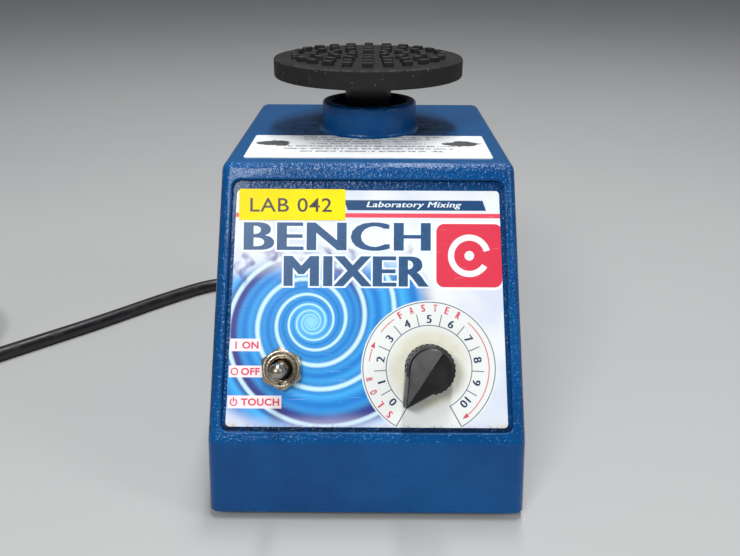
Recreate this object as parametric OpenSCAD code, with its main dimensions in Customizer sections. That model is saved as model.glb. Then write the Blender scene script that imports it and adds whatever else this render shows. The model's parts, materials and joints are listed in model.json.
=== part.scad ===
// Bench vortex mixer: a cast housing with a sloped control panel, a sprung
// eccentric drive, a round platform, and a mains cord coiled for storage.
// +Z is up. The origin is on the bench under the middle of the mixer.

/* [Housing] */
// Width at the bottom edge
body_w = 122; // [100:1:150]
// Depth at the bottom edge
body_d = 167; // [138:1:205]
// Height of the casting, without its feet
body_h = 126; // [104:1:155]
// Height of the upright strip below the panel
knee_h = 31; // [24:1:40]
// Slope of the control panel from upright, in degrees
panel_angle = 26; // [20:0.5:30]
// Draft of each side, in degrees
side_draft = 2.35; // [1:0.05:4]
// Draft of the upright front strip, in degrees
front_draft = 1.7; // [0:0.1:4]
// Draft of the back, in degrees
back_draft = 0.8; // [0:0.1:4]
// Wall of the casting
wall = 4; // [3.2:0.1:5]
// Radius on the outer edges
edge_r = 4; // [2:0.5:6]
// How far the switch's lever reaches past the bottom front edge
controls_lead = 1.6; // [0:0.1:8]

/* [Panel] */
// Depth of the recess around the front label
recess_depth = 2; // [1:0.1:2.4]
// Rim left at the sides of the recess
recess_side = 4.75; // [3:0.25:8]
// Rim left below the recess
recess_bottom = 4.2; // [2:0.1:8]
// Rim left above the recess, to the sharp top edge
recess_top = 6.6; // [5:0.1:10]
// Gap from the recess to the label at the sides and the bottom
label_gap = 1.7; // [0.5:0.1:4]
// Gap from the recess to the label at the top
label_top_gap = 3.8; // [0.5:0.1:6]
// Thickness of the labels
label_t = 0.4; // [0.2:0.05:0.6]
// Gap from the instruction label to the sides of the top face
top_label_side = 7.6; // [4:0.1:25]
// Depth of the instruction label on the top face
top_label_d = 37; // [20:0.5:40]
// Width of the inventory tag
tag_w = 40.4; // [20:0.5:50]
// Height of the inventory tag
tag_h = 11.9; // [8:0.1:16]

/* [Switch and dial] */
// Toggle switch to the left of the middle
toggle_x = -32; // [-38:0.5:-24]
// Toggle switch above the knee, along the panel
toggle_s = 27.6; // [24:0.1:34]
// Outer radius of the threaded bushing
toggle_bush_r = 5.9; // [5:0.1:7]
// Radius of the bushing's bore
toggle_bore_r = 4.1; // [3.5:0.1:4.6]
// Hexagon nut, across its flats
toggle_nut_af = 14.4; // [12:0.1:18]
// Lever from its pivot to the middle of its tip
lever_len = 15.4; // [12:0.2:20]
// Radius of the lever's tip
lever_tip_r = 2.9; // [2:0.1:3.4]
// Speed dial to the right of the middle
dial_x = 23.35; // [18:0.05:28]
// Speed dial above the knee, along the panel
dial_s = 28.05; // [26:0.05:34]
// Radius of the round part of the knob
knob_r = 9.25; // [8:0.25:12]
// Knob's nose from its axis
knob_nose = 17.2; // [14:0.2:20]
// Height of the knob above the label
knob_h = 13; // [9:0.5:16]
// Where the knob points when it is fully turned down, from straight up
knob_rest = 147; // [130:1:155]
// Radius of the control's shaft
pot_shaft_r = 3; // [2:0.1:3.2]

/* [Head] */
// Outer radius of the collar cast on the top
collar_r = 20.6; // [19:0.1:26]
// Height of the collar above the top face
collar_h = 13; // [10:0.5:18]
// Radius of the opening in the collar
collar_bore_r = 16.4; // [15.6:0.1:17.4]
// Radius of the head's orbit
orbit = 2.5; // [1.5:0.1:3]
// Direction of the head from the motor's axis at rest, in degrees
orbit_rest = 101; // [0:1:359]
// Radius of the platform's rubber cover
platform_r = 41; // [34:0.25:49]
// Height of the cover's rim above the top face
platform_rise = 31.1; // [28:0.1:40]
// Height of the cover's rim
platform_t = 8; // [6.6:0.1:10]
// Height of the gripping nubs
nub_h = 1.9; // [1:0.1:3]
// Radius of the platform's neck
neck_r = 10.1; // [9:0.1:12]
// Radius of the post in the neck
post_r = 6; // [5:0.1:7]
// Length of the neck below the platform
neck_len = 14.5; // [12:0.5:17]

/* [Motor] */
// Half of the stator's square
stator_half = 41; // [39.5:0.5:44]
// Height of the stator's stack
stack_h = 20; // [14:1:22]
// Radius of the rotor
rotor_r = 22; // [18:0.5:23]
// Gap from the rotor to the stator
air_gap = 0.6; // [0.4:0.1:1]
// Radius of the shaft
shaft_r = 4; // [3:0.1:5]
// Radius of the cooling fan
fan_r = 30; // [22:1:34]
// Height of the cooling fan
fan_h = 8; // [5:0.5:9]
// Outer radius of the bearing in the head
bearing_r = 13; // [11:0.5:14]
// Width of the bearing in the head
bearing_h = 8; // [6:0.5:9]

/* [Touch switch] */
// Travel of the head when it is pressed
touch_travel = 1.5; // [1:0.1:1.8]
// Radius of the plunger under the shaft
plunger_r = 6; // [5:0.1:7]
// Radius of the ball between the plunger and the shaft
thrust_ball_r = 2.5; // [2:0.1:3]

/* [Base] */
// Height of the feet below the casting
foot_h = 4; // [3:0.5:8]
// Radius of the feet
foot_r = 8; // [6:0.5:10]
// Thickness of the base plate
plate_t = 1.5; // [1:0.1:2]

/* [Cord] */
// Radius of the mains cord
cord_r = 3.75; // [3:0.05:4]
// Height of the cord's exit above the bottom of the casting
exit_h = 16; // [14:1:24]
// Length of the strain relief outside the casting
relief_len = 28; // [20:1:30]
// Radius of the plug's body
plug_r = 19; // [16:0.5:20]

/* [Hidden] */

fine = 96;      // facets on large rounds
small = 48;     // facets on small rounds
eps = 0.01;     // makes a cut pass its face
run_gap = 0.05; // radial clearance of a running fit
slip_gap = 0.3; // clearance between pieces that don't touch
seat = wall + 0.05; // depth at which a piece sits behind the panel

// ---- Heights and places of the casting ----
front_y = -(body_d - controls_lead)/2;
back_y = front_y + body_d;
bottom_z = foot_h;
top_z = bottom_z + body_h;
knee_z = bottom_z + knee_h;
knee_y = front_y + knee_h*tan(front_draft);
top_front_y = knee_y + (top_z - knee_z)*tan(panel_angle);
top_back_y = back_y - body_h*tan(back_draft);
drive_y = (top_front_y + top_back_y)/2;
ceiling_z = top_z - wall;
panel_len = (top_z - knee_z)/cos(panel_angle);

// Half of the casting's width at a height
function half_w(z) = body_w/2 - (z - bottom_z)*tan(side_draft);
// Half of the casting's width at a distance up the panel
function panel_half(s) = half_w(knee_z + s*cos(panel_angle));

// The side outline: [y, z] of each corner with the outward normals beside it
n_front = [-cos(front_draft), sin(front_draft)];
n_panel = [-cos(panel_angle), sin(panel_angle)];
n_top = [0, 1];
n_back = [cos(back_draft), sin(back_draft)];
skirt = 12; // how far the outline runs on below the casting before it is cut off
corners = [
    [[front_y - skirt*tan(front_draft), bottom_z - skirt], n_front, n_front],
    [[knee_y, knee_z], n_front, n_panel],
    [[top_front_y, top_z], n_panel, n_top],
    [[top_back_y, top_z], n_top, n_back],
    [[back_y + skirt*tan(back_draft), bottom_z - skirt], n_back, n_back]];
// A corner moved inwards by the same distance from both of its faces
function inset(c, d) = c[0] - d*(c[1] + c[2])/(1 + c[1]*c[2]);

// ---- Outlines ----
// A convex outline, counter-clockwise, with each corner rounded to radius r
function unit(v) = v/norm(v);
function round_corner(p, v, n, r, steps) =
    let (a = unit(v - p), b = unit(n - v),
         turn = acos(a*b),
         start = atan2(a[1], a[0]) - 90,
         centre = v + unit(b - a)*r/cos(turn/2))
    [for (i = [0:steps]) let (t = start + turn*i/steps) centre + r*[cos(t), sin(t)]];
function rounded(pts, r, steps = 6) =
    [for (i = [0:len(pts) - 1])
        each round_corner(pts[(i + len(pts) - 1) % len(pts)], pts[i],
                          pts[(i + 1) % len(pts)], r, steps)];
function rectangle(w, h) = [[-w/2, -h/2], [w/2, -h/2], [w/2, h/2], [-w/2, h/2]];
// A trapezoid on the panel that stays parallel to the sides
function panel_outline(side, low, high) =
    [[-panel_half(low) + side, low], [panel_half(low) - side, low],
     [panel_half(high) - side, high], [-panel_half(high) + side, high]];

// ---- Places on the panel ----
recess_high = panel_len - recess_top;
label_z = -recess_depth + label_t; // face of the front label, from the panel's plane
module on_panel(x = 0, s = 0)
    translate([0, knee_y, knee_z]) rotate([90 - panel_angle, 0, 0]) translate([x, s, 0]) children();
module at_drive(z = 0) translate([0, drive_y, z]) children();
head_x = orbit*cos(orbit_rest);
head_y = drive_y + orbit*sin(orbit_rest);
module at_head(z = 0) translate([head_x, head_y, z]) children();

module tube(r, bore, h, fn = small)
    difference() {
        cylinder(r = r, h = h, $fn = fn);
        translate([0, 0, -eps]) cylinder(r = bore, h = h + 2*eps, $fn = fn);
    }
// A hexagon nut with a round bore
module hex_nut(af, bore, h)
    difference() {
        cylinder(r = af/2/cos(30), h = h, $fn = 6);
        translate([0, 0, -eps]) cylinder(r = bore, h = h + 2*eps, $fn = small);
    }
// A pan-head screw, head down, shank up from z = 0
module pan_screw(r, len, head_r, head_h) {
    cylinder(r = r, h = len, $fn = small);
    translate([0, 0, -head_h]) cylinder(r1 = head_r*0.85, r2 = head_r, h = head_h, $fn = small);
}

// ---- Base ----
plate_lift = 0.8; // base plate above the casting's bottom edge
plate_z = bottom_z + plate_lift;
plate_top = plate_z + plate_t;
plate_gap = 0.4;
boss_r = 5;
boss_h = 18;
screw_r = 2;
boss_x = body_w/2 - wall - 3.6;
boss_front = front_y + wall + 7;
boss_back = back_y - wall - 7;
boss_places = [for (x = [-boss_x, boss_x], y = [boss_front, boss_back]) [x, y]];
screw_head_r = 3.8;
foot_gap = 0.4;                                // from a foot to the nearest screw's head
foot_bearing = 33;                             // direction of a foot from that screw, in degrees
foot_reach = foot_r + screw_head_r + foot_gap;
foot_x = boss_x - foot_reach*cos(foot_bearing);
foot_front = boss_front + foot_reach*sin(foot_bearing);
foot_back = boss_back - foot_reach*sin(foot_bearing);
foot_places = [for (x = [-foot_x, foot_x], y = [foot_front, foot_back]) [x, y]];
foot_stem_r = 2.5;

// ---- Motor and drive, from the base plate up ----
guide_floor = 1.5;
guide_h = 9.2;
guide_top = plate_top + guide_h;
guide_wall = 4;
arm_t = 1.5;
arm_z = guide_top + touch_travel + 0.2;      // underside of the plunger's arm
plunger_z = plate_top + guide_floor + 3.2;
plunger_top = arm_z + arm_t;
spring_pocket = 5;
spring_r = 3.9;
spring_wire = 0.45;
ball_z = plunger_top + 1;
shaft_z = ball_z + thrust_ball_r + run_gap;
bell_floor = 3;
bush_h = 8;
bush_r = 8;
lower_bush_z = shaft_z + 2.8;
lower_bell_z = lower_bush_z + 2;
coil_over = 6.5;                             // how far the windings stand past the stack
stator_z = lower_bell_z + bell_floor + coil_over + 1.5;
stator_top = stator_z + stack_h;
end_ring_h = 2;
core_over = 0.5;
upper_floor_z = stator_top + coil_over + 2.5;
upper_bell_top = upper_floor_z + bell_floor;
upper_bush_z = upper_bell_top - bush_h + 1;
bell_boss_r = 11;
bolt_place = stator_half - 6;
bolt_r = 2;
mount_h = 6;
mount_z = lower_bell_z - mount_h;
coil_inner = rotor_r + air_gap + 4;
coil_outer = 32.5;
slot_r = 36;
pole_w = 16;
coil_bar = 6;
fan_z = upper_bell_top + 1 + touch_travel + 1;
fan_top = fan_z + fan_h;

// ---- Head, from the top face down ----
shield_t = 1.4;
shield_r = collar_bore_r + orbit + 0.3;
shield_z = ceiling_z - 1.6 - shield_t;
hub_top = shield_z - 1.5;
bearing_z = hub_top - 0.5 - bearing_h;
hub_flange_z = bearing_z - 2;
hub_stem_h = 7;
hub_z = hub_flange_z - hub_stem_h;
hub_r = bearing_r + orbit + 2.5;
hub_stem_r = shaft_r + 8;
shaft_top = bearing_z - 1;
journal_r = 5;
post_flange_r = 7.5;
platform_z = top_z + platform_rise - platform_t;
neck_z = platform_z - neck_len;
post_top = neck_z + neck_len - 2.5;
seal_z = top_z + 1;
seal_h = 6;
seal_bore_r = neck_r + orbit + 0.7;
weight_t = 5.5;
weight_r = 26;
weight_screw_r = 1.5;
weight_screw_at = 15.4;

// ---- Housing ----
module outer_shape()
    intersection() {
        hull()
            for (c = corners, side = [-1, 1])
                let (p = inset(c, edge_r))
                translate([side*(half_w(p[1]) - edge_r/cos(side_draft)), p[0], p[1]])
                    sphere(r = edge_r, $fn = 32);
        translate([-body_w, front_y - body_d, bottom_z]) cube([2*body_w, 3*body_d, 3*body_h]);
    }
inner_r = 1;
module cavity()
    hull()
        for (c = corners, side = [-1, 1])
            let (p = inset(c, wall + inner_r))
            translate([side*(half_w(p[1]) - (wall + inner_r)/cos(side_draft)), p[0], p[1]])
                sphere(r = inner_r, $fn = 16);

collar_flare = 1.2;
module collar()
    at_drive(ceiling_z)
        rotate_extrude($fn = fine)
            polygon([[collar_bore_r, 0], [collar_r, 0], [collar_r + collar_flare, wall],
                     [collar_r, wall + 2*collar_flare], [collar_r, wall + collar_h - 1],
                     [collar_r - 1, wall + collar_h], [collar_bore_r + 0.8, wall + collar_h],
                     [collar_bore_r, wall + collar_h - 0.8]]);

gland_r = 5.5;
exit_z = bottom_z + exit_h;
exit_y = back_y - exit_h*tan(back_draft);
module housing() color([0.07, 0.36, 0.62]) {
    difference() {
        union() {
            difference() {
                outer_shape();
                cavity();
            }
            for (p = boss_places) translate([p[0], p[1], plate_top]) cylinder(r = boss_r, h = boss_h, $fn = small);
            collar();
        }
        for (p = boss_places)
            translate([p[0], p[1], plate_top - eps]) cylinder(r = screw_r, h = boss_h - 4, $fn = small);
        on_panel() translate([0, 0, -recess_depth]) linear_extrude(recess_depth + edge_r)
            polygon(rounded(panel_outline(recess_side, recess_bottom, recess_high), 3));
        on_panel(toggle_x, toggle_s) translate([0, 0, -2*wall]) cylinder(r = toggle_bush_r, h = 3*wall, $fn = small);
        on_panel(dial_x, dial_s) translate([0, 0, -2*wall]) cylinder(r = pot_bush_r, h = 3*wall, $fn = small);
        at_drive(ceiling_z - wall) cylinder(r = collar_bore_r, h = 3*wall, $fn = fine);
        translate([0, exit_y + wall, exit_z]) rotate([90, 0, 0]) cylinder(r = gland_r, h = 3*wall, $fn = small);
    }
}

plate_half = body_w/2 - wall - plate_gap;
vent_l = 26;
vent_w = 3;
module base_plate() color([0.55, 0.56, 0.58])
    difference() {
        translate([0, (front_y + back_y)/2, plate_z]) linear_extrude(plate_t)
            polygon(rounded(rectangle(2*plate_half, body_d - 2*wall - 2*plate_gap - 1), 3));
        for (p = boss_places)
            translate([p[0], p[1], plate_z - eps]) cylinder(r = screw_r, h = plate_t + 2*eps, $fn = small);
        for (p = foot_places)
            translate([p[0], p[1], plate_z - eps]) cylinder(r = foot_stem_r, h = plate_t + 2*eps, $fn = small);
        for (side = [-1, 1], i = [-2:2])
            translate([side*25 - vent_l/2*(side + 1)/2 - vent_l/4, drive_y + 9*i - vent_w/2, plate_z - eps])
                cube([vent_l - 8, vent_w, plate_t + 2*eps]);
    }

module base_screws() color([0.75, 0.75, 0.77])
    for (p = boss_places) translate([p[0], p[1], plate_z]) pan_screw(screw_r, 12, screw_head_r, 2.4);

module rubber_feet() color([0.07, 0.07, 0.07])
    for (p = foot_places) translate([p[0], p[1], 0]) {
        rotate_extrude($fn = small)
            polygon([[0, 0], [foot_r - 0.6, 0], [foot_r, 0.6], [foot_r - 0.8, plate_z],
                     [foot_stem_r, plate_z], [foot_stem_r, plate_top - 0.1], [0, plate_top - 0.1]]);
    }

// ---- Labels ----
label_low = recess_bottom + label_gap;
label_high = recess_high - label_top_gap;
module front_label() color([0.88, 0.92, 0.95])
    difference() {
        on_panel() translate([0, 0, -recess_depth]) linear_extrude(label_t)
            polygon(rounded(panel_outline(recess_side + label_gap, label_low, label_high), 1.5));
        on_panel(toggle_x, toggle_s) translate([0, 0, -recess_depth - eps])
            cylinder(r = toggle_bush_r, h = label_t + 2*eps, $fn = small);
        on_panel(dial_x, dial_s) translate([0, 0, -recess_depth - eps])
            cylinder(r = pot_bush_r, h = label_t + 2*eps, $fn = small);
    }
// The tag covers the label's upper left corner and is stuck on top of it
tag_x = -panel_half(label_high) + recess_side + label_gap + tag_w/2 + 0.8;
tag_s = label_high - tag_h/2 + 0.4;
module asset_tag() color([0.95, 0.88, 0.15])
    on_panel(tag_x, tag_s) translate([0, 0, label_z]) linear_extrude(0.2)
        polygon(rounded(rectangle(tag_w, tag_h), 0.8));
top_label_y = top_front_y + 6 + top_label_d/2;
top_label_w = 2*(half_w(top_z) - top_label_side);
module top_label() color([0.93, 0.94, 0.94])
    difference() {
        translate([0, top_label_y, top_z]) linear_extrude(label_t)
            polygon(rounded(rectangle(top_label_w, top_label_d), 1));
        at_drive(top_z - 1) cylinder(r = collar_r + collar_flare + 0.4, h = 3, $fn = fine);
    }

module collar_seal() color([0.05, 0.05, 0.05])
    at_drive(seal_z) tube(collar_bore_r, seal_bore_r, seal_h, fine);

// ---- Toggle switch ----
switch_l = 28;
switch_w = 15;
switch_d = 17;
bush_in = 3;                       // bushing inside the wall, to the switch's case
toggle_bush_out = 2.6;             // bushing above the panel's plane
washer_t = 0.7;
toggle_nut_t = 2.2;
nut_turn = 35;                     // where the nut happened to stop
pivot_z = label_z - 0.4;
lever_swing = 13;
module toggle_body() color([0.12, 0.12, 0.13])
    on_panel(toggle_x, toggle_s) difference() {
        union() {
            translate([-switch_w/2, -switch_l/2, -seat - bush_in - switch_d]) cube([switch_w, switch_l, switch_d]);
            for (s = [-9, 0, 9]) translate([-3, s - 0.4, -seat - bush_in - switch_d - 7]) cube([6, 0.8, 8]);
        }
        translate([0, 0, -seat - bush_in - 4]) cylinder(r = toggle_bore_r, h = 5, $fn = small);
    }
module toggle_bushing() color([0.78, 0.78, 0.76])
    on_panel(toggle_x, toggle_s) difference() {
        translate([0, 0, -seat - bush_in]) cylinder(r = toggle_bush_r, h = seat + bush_in + toggle_bush_out, $fn = small);
        translate([0, 0, -seat - bush_in - eps])
            cylinder(r = toggle_bore_r, h = seat + bush_in + toggle_bush_out + 2*eps, $fn = small);
        translate([-0.8, -toggle_bush_r - 1, 0]) cube([1.6, 1.9, toggle_bush_out + 1]);
    }
module toggle_washer() color([0.70, 0.70, 0.68])
    on_panel(toggle_x, toggle_s) translate([0, 0, label_z]) tube(toggle_nut_af/2 - 0.4, toggle_bush_r, washer_t);
module toggle_nut() color([0.80, 0.80, 0.78])
    on_panel(toggle_x, toggle_s) translate([0, 0, label_z + washer_t]) rotate([0, 0, nut_turn])
        hex_nut(toggle_nut_af, toggle_bush_r, toggle_nut_t);
module toggle_lever() color([0.85, 0.85, 0.84])
    on_panel(toggle_x, toggle_s) translate([0, 0, pivot_z]) {
        sphere(r = toggle_bore_r - run_gap, $fn = small);
        cylinder(r1 = 1.7, r2 = 2, h = lever_len/2, $fn = small);
        translate([0, 0, lever_len/2 - eps]) cylinder(r1 = 2, r2 = lever_tip_r - 0.1, h = lever_len/2, $fn = small);
        translate([0, 0, lever_len]) sphere(r = lever_tip_r, $fn = small);
        translate([0, 0, -6.4]) cylinder(r = 1.3, h = 6, $fn = small);
    }

// ---- Speed control ----
pot_bush_r = 4.6;
pot_r = 12;
pot_d = 12;
pot_bush_out = 5;
pot_nut_t = 2;
knob_gap = 0.5;                    // knob above the label
knob_z = label_z + knob_gap;
knob_top = knob_z + knob_h;
module pot_body() color([0.30, 0.32, 0.30])
    on_panel(dial_x, dial_s) difference() {
        union() {
            translate([0, 0, -seat - pot_d]) cylinder(r = pot_r, h = pot_d, $fn = small);
            for (x = [-5, 0, 5]) translate([x - 0.8, -pot_r - 7, -seat - 4]) cube([1.6, 8, 1]);
        }
        translate([0, 0, -seat - pot_d + 2]) cylinder(r = pot_bush_r, h = pot_d, $fn = small);
    }
module pot_bushing() color([0.72, 0.66, 0.40])
    on_panel(dial_x, dial_s) translate([0, 0, -seat - 3])
        tube(pot_bush_r, pot_shaft_r + run_gap, seat + 3 + label_z + pot_bush_out);
module pot_nut() color([0.72, 0.72, 0.70])
    on_panel(dial_x, dial_s) translate([0, 0, label_z]) hex_nut(12, pot_bush_r, pot_nut_t);
pot_shaft_top = knob_top - 3;
module pot_shaft() color([0.80, 0.80, 0.78])
    on_panel(dial_x, dial_s) {
        translate([0, 0, -seat - pot_d + 3]) cylinder(r = pot_shaft_r, h = seat + pot_d - 3 + pot_shaft_top, $fn = small);
        translate([0, 0, -seat - pot_d + 3]) cylinder(r = pot_bush_r - slip_gap, h = 2, $fn = small);
    }
knob_skirt = 5;
module speed_knob() color([0.05, 0.05, 0.05])
    on_panel(dial_x, dial_s) rotate([0, 0, knob_rest]) difference() {
        union() {
            translate([0, 0, knob_z]) cylinder(r = knob_r, h = knob_h - 2.5, $fn = small);
            hull() {
                translate([0, 0, knob_z + 1]) cylinder(r = knob_r - 0.5, h = knob_h - 3.5, $fn = 32);
                translate([0, knob_nose - 1.2, knob_z + 1]) cylinder(r = 1.2, h = knob_h - 6.5, $fn = 32);
                translate([-0.5, -knob_r + 2.5, knob_z + knob_h - 1]) cube([1, knob_r, 1]);
            }
        }
        translate([0, 0, knob_z - eps]) cylinder(r = 7.5, h = knob_skirt, $fn = small);
        translate([0, 0, knob_z]) cylinder(r = pot_shaft_r, h = pot_shaft_top - knob_z, $fn = small);
        translate([0, 0, knob_z + knob_skirt + 1.6]) rotate([90, 0, 0]) cylinder(r = 1.5, h = knob_r + 2, $fn = small);
    }
module knob_set_screw() color([0.45, 0.45, 0.46])
    on_panel(dial_x, dial_s) rotate([0, 0, knob_rest])
        translate([0, -pot_shaft_r, knob_z + knob_skirt + 1.6]) rotate([90, 0, 0]) cylinder(r = 1.5, h = 4, $fn = small);

// ---- Motor, fixed pieces ----
module at_bolts() for (x = [-1, 1], y = [-1, 1]) translate([x*bolt_place, y*bolt_place, 0]) children();
module motor_standoffs() color([0.62, 0.63, 0.65])
    at_drive(plate_top) at_bolts() tube(5, bolt_r, mount_z - plate_top);
module vibration_mounts() color([0.10, 0.10, 0.10])
    at_drive(mount_z) at_bolts() tube(7, bolt_r, mount_h);
module bell(floor_z, wall_z, wall_h, boss_z, boss_h2)
    difference() {
        union() {
            translate([-stator_half, -stator_half, min(floor_z, wall_z)])
                cube([2*stator_half, 2*stator_half, wall_h + bell_floor]);
            translate([0, 0, boss_z]) cylinder(r = bell_boss_r, h = boss_h2, $fn = small);
        }
        translate([0, 0, wall_z]) difference() {
            translate([0, 0, -eps]) cylinder(r = slot_r + 0.6, h = wall_h + 2*eps, $fn = fine);
            translate([0, 0, -1]) cylinder(r = bell_boss_r, h = wall_h + 2, $fn = small);
        }
        for (a = [0, 90]) rotate([0, 0, a])
            translate([-stator_half - 1, -18, wall_z + 1.5]) difference() {
                cube([2*stator_half + 2, 36, wall_h - 3]);
                translate([stator_half + 1 - 20, -1, -1]) cube([40, 38, wall_h]);
            }
        translate([0, 0, boss_z - eps]) cylinder(r = bush_r, h = boss_h2 + 2*eps, $fn = small);
        at_bolts() translate([0, 0, min(floor_z, wall_z) - eps])
            cylinder(r = bolt_r, h = wall_h + bell_floor + 2*eps, $fn = small);
    }
module lower_bell() color([0.66, 0.67, 0.68])
    at_drive() difference() {
        bell(lower_bell_z, lower_bell_z + bell_floor, stator_z - lower_bell_z - bell_floor,
             lower_bush_z - 1, bush_h + 1);
        translate([0, 0, lower_bush_z + bush_h])
            cylinder(r = bell_boss_r + 1, h = stator_z - lower_bush_z - bush_h + 1, $fn = small);
    }
module upper_bell() color([0.66, 0.67, 0.68])
    at_drive() difference() {
        bell(upper_floor_z, stator_top, upper_floor_z - stator_top, upper_bush_z, bush_h);
        translate([0, 0, stator_top - 1])
            cylinder(r = bell_boss_r + 1, h = upper_bush_z - stator_top + 1, $fn = small);
    }
module lower_bearing() color([0.66, 0.50, 0.25])
    at_drive(lower_bush_z) tube(bush_r, shaft_r + run_gap, bush_h);
module upper_bearing() color([0.66, 0.50, 0.25])
    at_drive(upper_bush_z) tube(bush_r, shaft_r + run_gap, bush_h);
module stator_core() color([0.50, 0.50, 0.52])
    at_drive(stator_z) difference() {
        linear_extrude(stack_h) difference() {
            polygon(rounded(rectangle(2*stator_half, 2*stator_half), 4));
            difference() {
                circle(r = slot_r, $fn = fine);
                for (a = [0, 90]) rotate(a) square([2*slot_r + 2, pole_w], center = true);
                difference() {
                    circle(r = coil_inner - 0.6, $fn = fine);
                    for (a = [45, 135]) rotate(a) square([2*slot_r, 9], center = true);
                }
            }
            circle(r = rotor_r + air_gap, $fn = fine);
        }
        at_bolts() translate([0, 0, -eps]) cylinder(r = bolt_r, h = stack_h + 2*eps, $fn = small);
    }
coil_gap = 0.5;
module field_coils() color([0.72, 0.40, 0.18])
    at_drive(stator_z + stack_h/2) for (a = [0:90:270]) rotate([0, 0, a])
        translate([coil_inner, 0, 0]) rotate([90, 0, 90]) linear_extrude(coil_outer - coil_inner)
            difference() {
                polygon(rounded(rectangle(pole_w + 2*coil_gap + 2*coil_bar, stack_h + 2*coil_over), 4));
                polygon(rounded(rectangle(pole_w + 2*coil_gap, stack_h + 2*coil_gap), 1));
            }
bolt_head_h = 3;
module through_bolts() color([0.74, 0.74, 0.76])
    at_drive() at_bolts() {
        translate([0, 0, mount_z - 8]) cylinder(r = bolt_r, h = upper_bell_top - mount_z + 8, $fn = small);
        translate([0, 0, upper_bell_top]) cylinder(r = 3.6, h = bolt_head_h, $fn = 6);
    }

// ---- Touch switch ----
module thrust_guide() color([0.70, 0.56, 0.30])
    at_drive(plate_top) difference() {
        union() {
            cylinder(r = plunger_r + guide_wall, h = guide_h, $fn = small);
            cylinder(r = plunger_r + guide_wall + 3, h = 1.5, $fn = small);
        }
        translate([0, 0, guide_floor]) cylinder(r = plunger_r + run_gap, h = guide_h, $fn = small);
    }
spring_z = plate_top + guide_floor;
spring_h = plunger_z + spring_pocket - spring_z - 0.1;
spring_turns = 6;
module touch_spring() color([0.72, 0.73, 0.75])
    at_drive(spring_z) for (i = [0:spring_turns - 1])
        translate([0, 0, spring_wire + i*(spring_h - 2*spring_wire)/(spring_turns - 1)])
            rotate_extrude($fn = small) translate([spring_r - spring_wire, 0]) circle(r = spring_wire, $fn = 16);
arm_len = 21;
arm_w = 8;
module thrust_plunger() color([0.78, 0.78, 0.80])
    at_drive() difference() {
        union() {
            translate([0, 0, plunger_z]) cylinder(r = plunger_r, h = plunger_top - plunger_z, $fn = small);
            translate([0, -arm_w/2, arm_z]) cube([arm_len, arm_w, arm_t]);
        }
        translate([0, 0, plunger_z - eps]) cylinder(r = spring_r + slip_gap, h = spring_pocket, $fn = small);
        translate([0, 0, ball_z]) sphere(r = thrust_ball_r, $fn = small);
    }
module thrust_ball() color([0.85, 0.86, 0.88])
    at_drive(ball_z) sphere(r = thrust_ball_r, $fn = small);
micro_x = 13.5;
micro_l = 20;
micro_w = 6.4;
micro_h = guide_h - 0.1;
button_x = micro_x + 5;
button_r = 1.6;
button_z = arm_z - run_gap;        // top of the button
module microswitch_body() color([0.12, 0.13, 0.16])
    at_drive(plate_top) difference() {
        translate([micro_x, -micro_w/2, 0]) cube([micro_l, micro_w, micro_h]);
        translate([button_x, 0, micro_h - 4]) cylinder(r = button_r + run_gap, h = 5, $fn = small);
        for (x = [4, micro_l - 4]) translate([micro_x + x, -micro_w, 3.2]) rotate([-90, 0, 0])
            cylinder(r = 1.1, h = 2*micro_w, $fn = small);
    }
module microswitch_bracket() color([0.74, 0.75, 0.77])
    at_drive(plate_top) {
        translate([micro_x, micro_w/2, 0]) cube([micro_l, 1.2, micro_h - 1]);
        translate([micro_x, micro_w/2, 0]) cube([micro_l, 9, 1.2]);
        for (x = [4, micro_l - 4]) translate([micro_x + x, -micro_w/2 - 1.2, 3.2]) rotate([-90, 0, 0]) {
            cylinder(r = 1.1, h = micro_w + 1.7, $fn = small);
            cylinder(r = 2, h = 1.2, $fn = small);
        }
    }
module microswitch_button() color([0.75, 0.15, 0.12])
    at_drive() translate([button_x, 0, plate_top + micro_h - 2.4])
        cylinder(r = button_r, h = button_z - plate_top - micro_h + 2.4, $fn = small);

// ---- Rotating pieces ----
module motor_shaft() color([0.80, 0.81, 0.83])
    at_drive(shaft_z) cylinder(r = shaft_r, h = shaft_top - shaft_z, $fn = small);
bar_r = 1.6;
module rotor_core() color([0.56, 0.56, 0.58])
    at_drive() difference() {
        union() {
            translate([0, 0, stator_z - core_over]) cylinder(r = rotor_r, h = stack_h + 2*core_over, $fn = fine);
            translate([0, 0, stator_z - core_over - end_ring_h])
                cylinder(r = rotor_r - 1, h = stack_h + 2*core_over + 2*end_ring_h, $fn = fine);
        }
        translate([0, 0, stator_z - 5]) cylinder(r = shaft_r, h = stack_h + 10, $fn = small);
    }
blades = 12;
module cooling_fan() color([0.20, 0.21, 0.22])
    at_drive(fan_z) difference() {
        union() {
            cylinder(r = fan_r, h = 1.2, $fn = fine);
            cylinder(r = shaft_r + 4, h = fan_h, $fn = small);
            for (a = [0:360/blades:359]) rotate([0, 0, a])
                translate([shaft_r + 3, -0.7, 0]) cube([fan_r - shaft_r - 4, 1.4, fan_h]);
        }
        translate([0, 0, -eps]) cylinder(r = shaft_r, h = fan_h + 2*eps, $fn = small);
    }
module eccentric_hub() color([0.60, 0.61, 0.63])
    difference() {
        union() {
            at_drive(hub_flange_z) cylinder(r = hub_r, h = hub_top - hub_flange_z, $fn = fine);
            at_drive(hub_z) cylinder(r = hub_stem_r, h = hub_stem_h + 1, $fn = small);
        }
        at_drive(hub_z - eps) cylinder(r = shaft_r, h = shaft_top - hub_z + eps, $fn = small);
        at_head(bearing_z) cylinder(r = bearing_r, h = bearing_h + 2, $fn = fine);
        at_drive(hub_z + hub_stem_h/2) rotate([0, 90, orbit_rest]) cylinder(r = 1.5, h = hub_stem_r + 2, $fn = small);
        weight_holes(weight_screw_r, 1.5);
    }
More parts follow.
